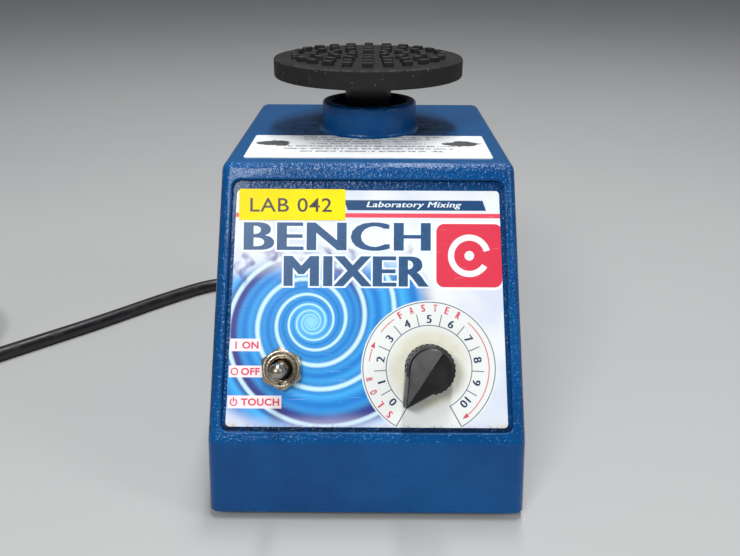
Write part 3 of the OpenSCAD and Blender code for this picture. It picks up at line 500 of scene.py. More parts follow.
# %% Holes for the switch, the dial, the head and the cord
BUSHING_R = 5.9
POT_BUSHING_R = 4.6
COLLAR_R, COLLAR_BORE = 20.6, 16.4
GLAND_R = 5.5
carve(housing, place(drum(BUSHING_R, -8, 4, 48), at_panel(TOGGLE_X, TOGGLE_UP)))
carve(housing, place(drum(POT_BUSHING_R, -8, 4, 48), at_panel(DIAL_X, DIAL_UP)))
turn_back = Matrix.Rotation(math.radians(-90), 4, "X")
gland_hole = drum(GLAND_R, -8, 8, 48)
carve(housing, place(gland_hole, shift(0, body_high.y - 2, EXIT_Z) @ turn_back))

# %% Collar round the head
collar_profile = [
    (COLLAR_BORE - 1, TOP - 3), (COLLAR_R + 2.3, TOP - 3), (COLLAR_R + 2.3, TOP - 0.02),
    (COLLAR_R + 1.2, TOP + 0.22), (COLLAR_R + 0.5, TOP + 0.8), (COLLAR_R + 0.15, TOP + 1.7),
    (COLLAR_R, TOP + 3), (COLLAR_R, COLLAR_TOP - 1.5), (COLLAR_R - 0.2, COLLAR_TOP - 0.75),
    (COLLAR_R - 0.75, COLLAR_TOP - 0.2), (COLLAR_R - 1.5, COLLAR_TOP),
    (COLLAR_BORE + 1, COLLAR_TOP), (COLLAR_BORE + 0.3, COLLAR_TOP - 0.3),
    (COLLAR_BORE, COLLAR_TOP - 1), (COLLAR_BORE, TOP), (COLLAR_BORE - 1, TOP),
    (COLLAR_BORE - 1, TOP - 3)]
AT_DRIVE = shift(DRIVE.x, DRIVE.y, 0)
collar = place(turned("tool", collar_profile, 128), AT_DRIVE)
carve(housing, collar, "UNION")
carve(housing, place(drum(COLLAR_BORE, TOP - 10, TOP + 3, 128), AT_DRIVE))
shade(housing, 32)
belongs(housing, "base", "cast_paint", "housing")

# %% [markdown]
# ### Switch
# The switch is held by a hexagon nut on a threaded bushing. The nut is a six-sided cylinder whose
# corners are turned off: a cone cuts it, which leaves the curved marks that every real nut has.

# %% Hexagon nut
SEAT = -0.9


def hex_nut(name, across_flats, low, high, bore, corner=0.9):
    """A nut with its corners chamfered on top by a cone, standing on the Z axis."""
    corner_r = across_flats / 2 / math.cos(math.radians(30))
    start()
    bpy.ops.mesh.primitive_cylinder_add(vertices=6, radius=corner_r * MM, depth=(high - low) * MM,
                                        location=mm(0, 0, (low + high) / 2))
    nut = added(name)
    flat_r = across_flats / 2
    slope = 0.5
    cone = turned("tool", [(0, low - 1), (corner_r + 2, low - 1),
                           (corner_r + 2, high - slope * (corner_r + 2 - flat_r + corner * 0.4)),
                           (flat_r - corner * 0.4, high), (0, high)], 96)
    carve(nut, cone, "INTERSECT")
    carve(nut, drum(bore, low - 2, high + 2, 64))
    mouth = [(0, high - 0.45), (bore - 0.01, high - 0.45), (bore + 0.5, high + 0.05),
             (bore + 0.5, high + 1), (0, high + 1)]
    carve(nut, turned("tool", mouth, 64))
    bevel(nut, 0.12, 2, 25)
    return shade(nut, 35)


NUT_HIGH = 1.3
toggle_nut = hex_nut("switch_nut", 14.4, SEAT, NUT_HIGH, BUSHING_R - 0.25)
place(toggle_nut, at_panel(TOGGLE_X, TOGGLE_UP, 0, 5))
belongs(toggle_nut, "base", "nickel", "toggle_nut")

# %% Threaded bushing
def threaded(name, radius, bore, low, high, pitch, depth, mouth):
    """A bushing with rolled thread rings and a funnel mouth."""
    rings = []
    z = low + pitch
    while z < high - 0.5:
        rings += [(radius - depth, z), (radius, z + pitch * 0.35), (radius, z + pitch * 0.55)]
        z += pitch
    profile = [(bore, low), (radius - depth, low)] + rings
    root = radius - depth
    profile += [(root, high - 0.35), (root - 0.1, high - 0.12), (root - 0.4, high), (bore + mouth, high),
                (bore + mouth - 0.25, high - 0.1), (bore, high - mouth * 1.1), (bore, low)]
    return turned(name, profile, 72)


BUSHING_LOW, BUSHING_HIGH = -7.05, 2.6
toggle_bushing = threaded("switch_bushing", BUSHING_R, 4.1, BUSHING_LOW, BUSHING_HIGH, 0.75, 0.35, 0.9)
start()
bpy.ops.mesh.primitive_cube_add(size=MM, location=mm(0, -BUSHING_R, 3))
keyway = bpy.context.object
keyway.scale = (1.6, 2.2, 6)
carve(toggle_bushing, added("tool"))
shade(toggle_bushing, 30)
place(toggle_bushing, at_panel(TOGGLE_X, TOGGLE_UP))
belongs(toggle_bushing, "base", "nickel", "toggle_bushing")

# %% [markdown]
# The lever is turned from one bar: a ball that rocks in the bushing, a slim waist, and a drop-shaped
# tip. A profile with many small steps gives the tip its smooth curve.

# %% Lever
def arc(centre, radius, begin, end, steps):
    """Points of an arc in a profile, in degrees from straight up, about a centre on the axis."""
    turns = [math.radians(begin + (end - begin) * i / steps) for i in range(steps + 1)]
    return [(max(radius * math.sin(t), 0), centre + radius * math.cos(t)) for t in turns]


BALL_R, TIP_R, TIP_H = 4.05, 2.9, 13.4
lever_profile = arc(TOGGLE_PIVOT, BALL_R, 180, 26, 14)
lever_profile += [(1.72, TOGGLE_PIVOT + 4.1), (1.72, TOGGLE_PIVOT + 5.2), (1.95, TOGGLE_PIVOT + 8)]
lever_profile += [(2.35, TIP_H - 3), (2.72, TIP_H - 1)] + arc(TIP_H, TIP_R, 88, 0, 10)
toggle_lever = shade(turned("switch_lever", lever_profile, 64), 50)
place(toggle_lever, at_panel(TOGGLE_X, TOGGLE_UP))
belongs(toggle_lever, "toggle", "nickel", "toggle_lever")

# %% [markdown]
# ### Speed knob
# The knob is moulded: a round skirt with a fluted rim, and a grip shaped like a drop that points at
# the scale. Its top face falls away on both sides of a fine ridge, so the two halves catch the
# light differently.

# %% Skirt and flutes
KNOB_R, SKIRT_TOP, KNOB_LOW = 9.25, 9.4, -1.1
FLUTES = 28
skirt_profile = [
    (0, KNOB_LOW), (KNOB_R - 0.5, KNOB_LOW), (KNOB_R - 0.1, KNOB_LOW + 0.15), (KNOB_R, KNOB_LOW + 0.5),
    (KNOB_R - 0.12, SKIRT_TOP - 0.9), (KNOB_R - 0.5, SKIRT_TOP - 0.25), (KNOB_R - 1.2, SKIRT_TOP),
    (0, SKIRT_TOP)]
skirt = turned("dial_knob", skirt_profile, 168)
flute = drum(0.72, KNOB_LOW + 1.2, SKIRT_TOP + 2, 32)
place(flute, shift(KNOB_R + 0.24, 0, 0))
turns = [Matrix.Rotation(2 * math.pi * i / FLUTES, 4, "Z") for i in range(1, FLUTES)]
flutes = joined("tool", [flute] + [copied(flute, turn) for turn in turns])
carve(skirt, flutes)

# %% Grip with its ridge
NOSE_Y, NOSE_R, GRIP_R = 16, 1.2, 8.75


def drop_outline(inset, count=40):
    """A drop: the hull of a big circle and a small one, drawn in from its edge by an inset."""
    big, small = GRIP_R - inset, max(NOSE_R - inset, 0.25)
    reach = NOSE_Y - max(inset - NOSE_R + 0.25, 0) * 1.5
    lean = math.asin((big - small) / reach)
    outline = []
    for i in range(count + 1):
        t = math.pi - lean + (math.pi + 2 * lean) * i / count
        outline.append((big * math.cos(t), big * math.sin(t)))
    for i in range(17):
        t = lean + (math.pi - 2 * lean) * i / 16
        outline.append((small * math.cos(t), reach + small * math.sin(t)))
    return outline


def loft(name, rings):
    """A closed solid from rings of as many points: an outline is extruded again and again."""
    start()
    bpy.ops.mesh.primitive_circle_add(vertices=len(rings[0]), radius=1, fill_type="NGON")
    piece = added(name)
    edit(piece)
    mesh = bmesh.from_edit_mesh(piece.data)
    for vertex, point in zip(sorted(mesh.verts, key=lambda vertex: vertex.index), rings[0]):
        vertex.co = mm(*point)
    bmesh.update_edit_mesh(piece.data)
    for below, ring in zip(rings, rings[1:]):
        bpy.ops.mesh.extrude_region_move()
        mesh = bmesh.from_edit_mesh(piece.data)
        for vertex in [vertex for vertex in mesh.verts if vertex.select]:
            nearest = min(range(len(ring)), key=lambda i: (vertex.co - mm(*below[i])).length)
            vertex.co = mm(*ring[nearest])
        bmesh.update_edit_mesh(piece.data)
    return clean(piece)


def top_height(x, y):
    """The grip's roof: a ridge along the pointer, lower towards the sides and the nose."""
    return 11.9 - 0.16 * abs(x) - 0.05 * (y + GRIP_R)


def roof_ring(inset, drop):
    return [(x, y, top_height(x, y) - drop) for x, y in drop_outline(inset)]


def flat_ring(inset, height):
    return [(x, y, height) for x, y in drop_outline(inset)]


grip = loft("tool", [flat_ring(0, -0.1), flat_ring(0.1, 4.5), roof_ring(0.8, 0.9), roof_ring(1.0, 0.3),
                     roof_ring(1.35, 0.02), roof_ring(1.6, 0)])
edit(grip)
bpy.ops.mesh.bisect(plane_co=(0, 0, 0), plane_no=(1, 0, 0))
start()
print("grip drawn with", len(grip.data.polygons), "faces")

# %% Join the grip to the skirt and open the underside
carve(skirt, grip, "UNION")
HOLLOW_R, HOLLOW_TOP = 7.5, 3.9
SHAFT_HOLE_R, SHAFT_HOLE_TOP = 3, 8.9
carve(skirt, drum(HOLLOW_R, KNOB_LOW - 2, HOLLOW_TOP, 96))
carve(skirt, drum(SHAFT_HOLE_R, KNOB_LOW - 1, SHAFT_HOLE_TOP, 48))
start()
bpy.ops.mesh.primitive_cylinder_add(vertices=32, radius=1.5 * MM, depth=12 * MM, location=mm(0, -9, 5.5),
                                    rotation=(math.radians(90), 0, 0))
carve(skirt, added("tool"))
shade(skirt, 14)
POINTER_TURN = 147
place(skirt, at_panel(DIAL_X, DIAL_UP, 0, POINTER_TURN))
belongs(skirt, "knob", "black_plastic", "speed_knob")

# %% [markdown]
# ### Platform
# The platform is a moulded plastic plate under a replaceable rubber cover. The cover is a lathe
# shape with a rolled rim. Its grip comes from rings of small rubber blocks, one modelled and the
# rest copied, each with its own mesh, turned a little out of true as worn rubber is.

# %% Rubber cover
PAD_R = (cover_high.x - cover_low.x) / 2
PAD_LOW, PAD_TOP = cover_low.z, cover_high.z - 1.9
LIP, COVER_T = 1, 3.1
PLATE_R = PAD_R - 2.2
pad_profile = [
    (0, PAD_TOP - COVER_T), (PLATE_R, PAD_TOP - COVER_T), (PLATE_R, PAD_LOW + LIP),
    (PLATE_R - 2, PAD_LOW + LIP), (PLATE_R - 2.3, PAD_LOW + 0.5), (PLATE_R - 2, PAD_LOW),
    (PAD_R - 0.9, PAD_LOW), (PAD_R - 0.3, PAD_LOW + 0.25), (PAD_R, PAD_LOW + 0.9),
    (PAD_R, PAD_TOP - 1.1), (PAD_R - 0.15, PAD_TOP - 0.5), (PAD_R - 0.5, PAD_TOP - 0.12),
    (PAD_R - 1, PAD_TOP), (PAD_R - 5, PAD_TOP - 0.05), (0, PAD_TOP)]
pad = turned("platform_pad", pad_profile, 128)
shade(pad, 40)

# %% Rubber blocks
NUB_RINGS = [(32, 24), (24, 18), (16, 12), (8, 6)]
NUB_H = cover_high.z - PAD_TOP
start()
bpy.ops.mesh.primitive_cube_add(size=MM, location=mm(0, 0, NUB_H / 2 - 0.1))
block = bpy.context.object
block.scale = (3.2, 4.4, NUB_H + 0.2)
block = added("nub")
edit(block)
choose("faces", lambda face: face.normal.z > 0.9)
bpy.ops.transform.resize(value=(0.9, 0.93, 1))
start()
bevel(block, 0.32, 2, 40)
random.seed(7)
blocks = []
for ring_r, count in NUB_RINGS:
    for i in range(count):
        turn = 2 * math.pi * (i + 0.5 * (ring_r / 8 % 2)) / count
        where = Matrix.Rotation(turn, 4, "Z") @ shift(ring_r, 0, PAD_TOP)
        wobble = Matrix.Rotation(math.radians(random.uniform(-4, 4)), 4, "Z")
        across, along, tall = random.uniform(0.9, 1.06), random.uniform(0.9, 1.08), random.uniform(0.9, 1)
        size = Matrix.Diagonal((across, along, tall, 1))
        blocks.append(copied(block, where @ wobble @ size))
bpy.data.objects.remove(block, do_unlink=True)
nubs = joined("platform_nubs", blocks)
shade(nubs, 35)
ON_HEAD = shift(HEAD.x, HEAD.y, 0)
place(pad, ON_HEAD)
place(nubs, ON_HEAD)
belongs(pad, "platform", "grey_rubber", "platform_cover")
belongs(nubs, "platform", "grey_rubber")

# %% Plate and neck under the cover
plate_low, plate_high = extent("platform_plate")
NECK_R, NECK_BORE = 10.1, 6.05
plate_profile = [
    (0, plate_high.z), (PLATE_R - 0.6, plate_high.z), (PLATE_R - 0.05, plate_high.z - 0.5),
    (PLATE_R - 0.05, PAD_LOW + LIP + 0.6), (PLATE_R - 0.6, PAD_LOW + LIP + 0.05),
    (34, PAD_LOW + LIP), (NECK_R + 4.4, PAD_LOW + LIP), (NECK_R + 2.6, PAD_LOW + LIP - 0.5),
    (NECK_R + 1.1, PAD_LOW + LIP - 1.4), (NECK_R, PAD_LOW - 2.6), (NECK_R, plate_low.z + 0.8),
    (NECK_R - 0.8, plate_low.z), (NECK_BORE + 0.5, plate_low.z), (NECK_BORE, plate_low.z + 0.5),
    (NECK_BORE, 151.4), (0, 151.4)]
plate = shade(turned("platform_neck", plate_profile, 96), 35)
place(plate, ON_HEAD)
belongs(plate, "platform", "black_plastic", "platform_plate")

# %% Seal in the collar, with a folded lip
SEAL_R, SEAL_BORE = (seal_high.x - seal_low.x) / 2, 13.3
seal_profile = [
    (SEAL_BORE + 0.4, seal_low.z), (SEAL_R - 0.02, seal_low.z), (SEAL_R - 0.02, seal_high.z - 0.4),
    (SEAL_R - 0.5, seal_high.z), (SEAL_R - 1.2, seal_high.z - 0.1), (SEAL_R - 1.7, seal_high.z - 1),
    (SEAL_BORE + 0.9, seal_high.z - 1.1), (SEAL_BORE + 0.5, seal_high.z - 0.3),
    (SEAL_BORE + 0.2, seal_high.z - 0.3), (SEAL_BORE, seal_high.z - 0.8), (SEAL_BORE, seal_low.z + 0.4),
    (SEAL_BORE + 0.4, seal_low.z)]
seal = shade(turned("collar_ring_seal", seal_profile, 96), 35)
place(seal, AT_DRIVE)
belongs(seal, "base", "black_rubber", "collar_seal")

# %% [markdown]
# ### Feet and base screws
# Four soft feet are held by pan-head screws with a cross recess. The recess is cut with two thin
# blocks, and the foot is a lathe shape with a hollow for the screw's head.

# %% Feet
feet_low, feet_high = extent("rubber_feet")
FOOT_R = 8


def four_corners(low, high, radius):
    """The middles of four round things that just fit in a box."""
    return [(x, y) for x in (low.x + radius, high.x - radius) for y in (low.y + radius, high.y - radius)]


feet_at = four_corners(feet_low, feet_high, FOOT_R)
FOOT_PROFILE = [
    (0, 1.2), (3.4, 1.2), (3.7, 0.3), (4.1, 0), (6.6, 0), (7.3, 0.3), (7.7, 0.9), (FOOT_R, 3.9),
    (FOOT_R - 0.1, 4.4), (FOOT_R - 0.5, 4.78), (0, 4.78)]
foot = shade(turned("foot", FOOT_PROFILE, 48), 40)
feet = repeated("soft_feet", foot, [shift(x, y, 0) for x, y in feet_at])
belongs(feet, "base", "black_rubber", "rubber_feet")

# %% Base screws
screws_low, screws_high = extent("base_screws")
HEAD_R = 3.8
screws_at = four_corners(screws_low, screws_high, HEAD_R)
HEAD_UNDER = 4.8
screw_profile = [
    (0, screws_low.z), (1.6, screws_low.z + 0.05), (2.9, screws_low.z + 0.45), (3.55, screws_low.z + 1.1),
    (HEAD_R, screws_low.z + 1.8), (HEAD_R - 0.1, HEAD_UNDER - 0.15), (HEAD_R - 0.3, HEAD_UNDER),
    (1.7, HEAD_UNDER), (1.7, screws_high.z - 0.6), (1.2, screws_high.z), (0, screws_high.z)]
screw = turned("screw", screw_profile, 48)
for turn in (0, 90):
    start()
    bpy.ops.mesh.primitive_cube_add(size=MM, location=mm(0, 0, screws_low.z))
    slot_tool = bpy.context.object
    slot_tool.scale = (4.2, 0.8, 2.6)
    slot_tool.rotation_euler.z = math.radians(turn)
    carve(screw, added("tool"))
shade(screw, 30)
screws = repeated("cover_screws", screw, [shift(x, y, 0) for x, y in screws_at])
belongs(screws, "base", "zinc_steel", "base_screws")

# %% [markdown]
# ### Strain relief and plug
# Where a cord enters a case or a plug, a ribbed rubber sleeve spreads the bend. Each sleeve is one
# lathe profile whose ribs are made by a short loop, and the plug's body has a wider grip ring.

# %% Ribbed sleeves
def ribs(begin, end, count, thick, slim, gap=0.9):
    """The (radius, height) points of a tapering sleeve with grooves cut into it."""
    points = []
    for i in range(count):
        low = begin + (end - begin) * i / count
        high = begin + (end - begin) * (i + 1) / count
        r = thick + (slim - thick) * (i + 0.5) / count
        points += [(r, low), (r, low + (high - low) * 0.6), (r - gap, low + (high - low) * 0.66),
                   (r - gap, high - (high - low) * 0.06)]
    return points


wall_y = body_high.y - math.tan(BACK_DRAFT) * (EXIT_Z - BOTTOM)
reach = relief_high.y - wall_y
relief_profile = [
    (CORD_R, -6.8), (GLAND_R - 0.05, -6.8), (GLAND_R - 0.05, 0.05), (7.1, 0.05), (7.5, 0.5),
    (7.5, 2.5), (7.1, 3)]
relief_profile += ribs(3.1, reach - 2, 8, 6.4, 4.85)
relief_profile += [(4.7, reach - 1.6), (4.6, reach - 0.3), (4.4, reach), (CORD_R, reach), (CORD_R, -6.8)]
relief = shade(turned("cord_strain_relief", relief_profile, 64), 30)
place(relief, shift(0, wall_y, EXIT_Z) @ turn_back)
belongs(relief, "base", "cord_jacket", "strain_relief")

# %% Plug
PLUG_Y, PLUG_Z = TAIL[-1]
plug_profile = [(3.6, 0), (4.4, 0), (4.75, 0.4)] + ribs(0.6, 20, 6, 5.1, 8, 0.8)
plug_profile += [
    (8, 20.6), (9, 21.4), (11.6, 22.4), (12.6, 23.4), (14.6, 28.5), (16.9, 34.5), (17.6, 36), (18.4, 36.9),
    (19, 38), (19, 39), (18.4, 40), (18.4, 44), (19, 45), (19, 46), (18.4, 47), (18.4, 51), (19, 52),
    (19, 62.4), (18.8, 63.2), (18, 64), (0, 64), (0, 20), (3.6, 20), (3.6, 0)]
plug_toward = shift(tail_x, PLUG_Y, PLUG_Z) @ Matrix.Rotation(math.radians(90), 4, "X")
plug = turned("mains_plug", plug_profile, 96)
print("plug faces", len(plug.data.polygons))

# %% Plug holes and pins
PIN_X, PIN_R, PIN_ROOT_R = 9.5, 2.4, 2
PLUG_LENGTH = 64
for side in (-1, 1):
    carve(plug, place(drum(PIN_ROOT_R, PLUG_LENGTH - 3, PLUG_LENGTH + 2, 32),
                      shift(side * PIN_X, 0, 0)))
carve(plug, place(drum(2.5, PLUG_LENGTH - 16, PLUG_LENGTH + 2, 32), shift(0, PIN_X, 0)))
shade(plug, 30)
place(plug, plug_toward)
belongs(plug, "base", "cord_jacket", "plug_body")
pin_profile = [
    (0, -2.95), (PIN_ROOT_R - 0.02, -2.95), (PIN_ROOT_R - 0.02, 0.02), (PIN_R, 0.02), (PIN_R, 17.6),
    (PIN_R - 0.25, 18.3), (PIN_R - 0.8, 18.85), (0.8, 19), (0, 19)]
pin = shade(turned("pin", pin_profile, 40), 40)
plug_pins = repeated("mains_pins", pin, [shift(side * PIN_X, 0, PLUG_LENGTH) for side in (-1, 1)])
place(plug_pins, plug_toward)
belongs(plug_pins, "base", "nickel", "plug_pins")
belongs(power_cord, "base", "cord_jacket", "power_cord", "cord_coil", "cord_tail")

# %% [markdown]
# ## Finishes
# A finish is a shader made of many small sums. Two helpers keep them readable: Ink wraps a socket,
# so that plain arithmetic on it adds Math nodes, and Paint makes any other node in one call.

# %% Ink
class Ink:
    """A number in a shader. Arithmetic on it adds Math nodes."""

    def __init__(self, paint, socket):
        self.paint = paint
        self.socket = socket

    def maths(self, operation, *values):
        return self.paint.node("Math", {"operation": operation}, dict(enumerate(values)))

    def __add__(self, other):
        return self.maths("ADD", self, other)

    def __sub__(self, other):
        return self.maths("SUBTRACT", self, other)

    def __rsub__(self, other):
        return self.maths("SUBTRACT", other, self)

    def __mul__(self, other):
        return self.maths("MULTIPLY", self, other)

    def __truediv__(self, other):
        return self.maths("DIVIDE", self, other)

    def __abs__(self):
        return self.maths("ABSOLUTE", self)

    def least(self, other):
        return self.maths("MINIMUM", self, other)

    def most(self, other):
        return self.maths("MAXIMUM", self, other)

    def root(self):
        return self.maths("SQRT", self)

    def angle(self, across):
        """The direction of a point that is this far up and so far across, in radians."""
        return self.maths("ARCTAN2", self, across)

    def to_nearest(self, period):
        """Rises and falls between 0 and the period."""
        return self.maths("PINGPONG", self, period)

    def step(self, low, high):
        """0 below one value and 1 above the other, or falling if they are given the other way."""
        return self.paint.node("MapRange", {"interpolation_type": "SMOOTHSTEP"},
                               {"Value": self, "From Min": low, "From Max": high})

    __radd__ = __add__
    __rmul__ = __mul__


# %% Paint
def srgb(red, green, blue):
    """A colour as it is named on a screen, made linear for the shader."""
    parts = [c / 255 for c in (red, green, blue)]
    return tuple(c / 12.92 if c < 0.04045 else ((c + 0.055) / 1.055) ** 2.4 for c in parts) + (1,)


class Paint:
    """A material, with one method that adds a node."""

    def __init__(self, name, constants):
        self.material = bpy.data.materials.new(name)
        self.material.use_nodes = True
        self.tree = self.material.node_tree
        self.surface = self.tree.nodes["Principled BSDF"]
        for key, value in constants.items():
            self.surface.inputs[key].default_value = value

    def feed(self, socket, value):
        if isinstance(value, Ink):
            self.tree.links.new(value.socket, socket)
        else:
            socket.default_value = value

    def node(self, kind, settings=None, inputs=None, output=0):
        """Adds a node: its settings first, then the values or links of its sockets."""
        node = self.tree.nodes.new("ShaderNode" + kind)
        for key, value in (settings or {}).items():
            setattr(node, key, value)
        for key, value in (inputs or {}).items():
            self.feed(node.inputs[key], value)
        return Ink(self, node.outputs[output])

    def place(self, location=(0, 0, 0), rotation=(0, 0, 0), scale=(1000, 1000, 1000)):
        """Where a point is on the object, in millimetres."""
        point = self.node("TexCoord", output="Object")
        return self.node("Mapping", None, {"Vector": point, "Location": location, "Rotation": rotation,
                                           "Scale": scale})

    def on_panel(self):
        """Where a point is in the panel's frame: across, up the slope and out of it."""
        turn = Matrix.Rotation(math.radians(-PANEL_TILT), 3, "X")
        return self.place(-(turn @ KNEE) / MM, (math.radians(-PANEL_TILT), 0, 0))

    def axes(self, vector):
        """The three numbers of a vector."""
        split = self.node("SeparateXYZ", None, {"Vector": vector})
        return [Ink(self, socket) for socket in split.socket.node.outputs]

    def noise(self, where, scale, detail=2, roughness=0.5, distortion=0):
        return self.node("TexNoise", None, {"Vector": where, "Scale": scale, "Detail": detail,
                                            "Roughness": roughness, "Distortion": distortion})

    def cells(self, where, scale):
        """The distance to the nearest of many scattered points."""
        return self.node("TexVoronoi", {"feature": "F1"}, {"Vector": where, "Scale": scale}, "Distance")

    def blend(self, factor, first, second):
        """From the first colour to the second."""
        return self.node("Mix", {"data_type": "RGBA"}, {0: factor, 6: first, 7: second}, 2)

    def finish(self, colour, roughness, height, distance, strength):
        """Links the surface. Height is in parts of the distance, which is in millimetres."""
        self.feed(self.surface.inputs["Base Color"], colour)
        self.feed(self.surface.inputs["Roughness"], roughness)
        bumped = self.node("Bump", None, {"Strength": strength, "Distance": distance * MM,
                                          "Height": height})
        self.feed(self.surface.inputs["Normal"], bumped)
        print("finish:", self.material.name, "with", len(self.tree.nodes), "nodes")
        return self.material


# %% [markdown]
# ### Hammered enamel
# The casting wears a thick blue enamel with the skin of an orange. Two sizes of cells and a fine
# noise make its bumps, and small bright flecks, strongest on the sloped faces, are painted glints.
# The faces that look up are painted greyer as a painted reflection, a painted highlight of white
# glints runs along the top front edge, and painted shade darkens the top round the collar under the
# platform and the recess round the label, with dark grime at the bottom of the recess. The lower
# edge is a little scuffed.

# %% Enamel
def enamel():
    gloss = {"Coat Weight": 0.08, "Coat Roughness": 0.06, "Specular IOR Level": 0.2}
    paint = Paint("hammered_blue_enamel", gloss)
    where = paint.place()
    x, y, z = paint.axes(where)
    skin = paint.noise(where, 1.05, 1.5, 0.5)
    fine = paint.noise(where, 2.4, 2, 0.5)
    broad = paint.noise(where, 0.03, 3, 0.55)
    pits = paint.cells(where, 0.55)
    # Painted highlight: small bright flecks stand for glints of light on the enamel's skin, strongest on the
    # sloped faces.
    painted_sparkle = paint.cells(where, 0.95).step(0.24, 0.1) * paint.noise(where, 0.6, 1).step(0.42, 0.56)
    upright = paint.axes(paint.node("NewGeometry", output="Normal"))[2]
    facing_up = upright.step(0.8, 0.97)
    slope = upright.step(0.2, 0.4) * (1 - facing_up)
    colour = paint.blend(broad.step(0.3, 0.7), srgb(0, 64, 120), srgb(0, 76, 136))
    # Painted reflection: faces that look up are made greyer, as they look when they reflect the grey room.
    colour = paint.blend(facing_up * 0.5, colour, srgb(20, 76, 118))
    colour = paint.blend(painted_sparkle * (0.08 + 0.6 * slope + 0.12 * facing_up), colour, srgb(120, 185, 230))
    dx = x - DRIVE.x
    dy = y - DRIVE.y
    reach = (dx * dx + dy * dy).root()
    # Painted shade under the platform: the top face round the collar is darkened in patches, and the top of
    # the collar's bore nearly black.
    shade_patch_noise = paint.noise(where, 0.16, 4, 0.7)
    ring = reach.step(44, 24) * facing_up * z.step(TOP + 2, TOP + 0.5)
    painted_collar_shade = ring * shade_patch_noise.step(0.35, 0.66) + reach.step(18.9, 17.2) * z.step(TOP + 9, TOP + 12.5)
    colour = paint.blend(painted_collar_shade.least(1) * 0.75, colour, srgb(16, 22, 30))
    specks = paint.cells(where, 0.55).step(0.16, 0.06) * facing_up
    specks = specks * paint.noise(where, 0.11, 2).step(0.5, 0.62)
    colour = paint.blend(specks * 0.7, colour, srgb(10, 14, 22))
    lint = paint.cells(where, 0.9).step(0.09, 0.04) * facing_up * paint.noise(where, 0.23, 2).step(0.55, 0.65)
    colour = paint.blend(lint * 0.5, colour, srgb(150, 170, 185))
    # Painted highlight: a band of white glints along the rounded top front edge.
    crease = z.step(TOP - 3, TOP - 1.8) * z.step(TOP - 0.2, TOP - 0.9)
    crease = crease * y.step(KNEE.y / MM + 50, KNEE.y / MM + 40)
    glints = paint.cells(where, 1.1).step(0.45, 0.2) * paint.noise(where, 0.8, 2).step(0.4, 0.55)
    colour = paint.blend(crease * glints * 0.8, colour, srgb(205, 228, 245))
    slot_s, slot_h = paint.axes(paint.on_panel())[1:]
    above_rim = slot_s.step(3.7, 4.1)
    # Painted shade with dark grime in it: the bottom of the recess, below the label, goes nearly black in
    # patches.
    recess_shade_and_grime = slot_h.step(-0.9, -1.8) * slot_s.step(8, 5) * above_rim
    recess_shade_and_grime = recess_shade_and_grime * paint.noise(where, 0.5, 3).step(0.3, 0.5)
    colour = paint.blend(recess_shade_and_grime * 0.85, colour, srgb(10, 14, 18))
    # Painted shade: the walls and floor of the recess round the label are made darker navy.
    painted_recess_shade = slot_h.step(-0.4, -1.9) * above_rim * slot_s.step(100, 99.4)
    colour = paint.blend(painted_recess_shade * 0.4, colour, srgb(0, 34, 76))
    scuff = z.step(9, 4.4) * paint.noise(where, 0.45, 4, 0.7).step(0.56, 0.68)
    colour = paint.blend(scuff * 0.6, colour, srgb(12, 40, 70))
    rough = 0.12 + 0.36 * facing_up + 0.3 * painted_collar_shade.least(1) + 0.12 * broad + 0.2 * scuff
    height = skin * 0.75 + fine * 0.12 + pits.least(0.7) * 0.35
    return paint.finish(colour, rough, height, 0.38, 1)


# %% [markdown]
# ### Metals
# One recipe serves every metal: a base colour with darker grime in noisy patches, a fine grain along
# one direction from a stretched noise, and a roughness that changes with both.

# %% Metals
def metal(name, light, dark, rough=0.28, grain=(0.6, 0.6, 6), grime=0.5, bump=0.01):
    paint = Paint(name, {"Metallic": 1})
    where = paint.place()
    along = paint.place(scale=tuple(1000 * g for g in grain))
    lines = paint.noise(along, 1, 3, 0.6)
    stain = paint.noise(where, 0.35, 4, 0.65).step(0.42, 0.7)
    spots = paint.noise(where, 1.9, 3, 0.6).step(0.56, 0.72)
    dark_patches = (stain * grime + spots * grime * 0.5).least(1)
    colour = paint.blend(dark_patches, light, dark)
    return paint.finish(colour, rough + 0.2 * lines - 0.1 + 0.25 * dark_patches, lines * 0.5 + spots * 0.5, bump, 0.8)


# %% [markdown]
# ### Plastics and rubbers
# Moulded parts share a recipe too. Their colour hardly varies, but a fine leather-like grain breaks
# the reflections, and dust or handling lifts the colour in patches.

# %% Plastics and rubbers
def moulded(name, colour, worn, rough=0.4, grain=1.4, bump=0.04, dust=0.0, wear=0.4):
    paint = Paint(name, {"Specular IOR Level": 0.5})
    where = paint.place()
    skin = paint.noise(where, grain, 3, 0.6)
    patches = paint.noise(where, 0.12, 3, 0.6).step(0.42, 0.68)
    shade_of = paint.blend(patches * wear, colour, worn)
    specks = paint.cells(where, 0.8).step(0.14, 0.05) * paint.noise(where, 0.3, 2).step(0.45, 0.6)
    shade_of = paint.blend(specks * dust, shade_of, srgb(190, 190, 185))
    return paint.finish(shade_of, rough + 0.18 * patches - 0.08 + 0.2 * specks * dust, skin, bump, 0.7)


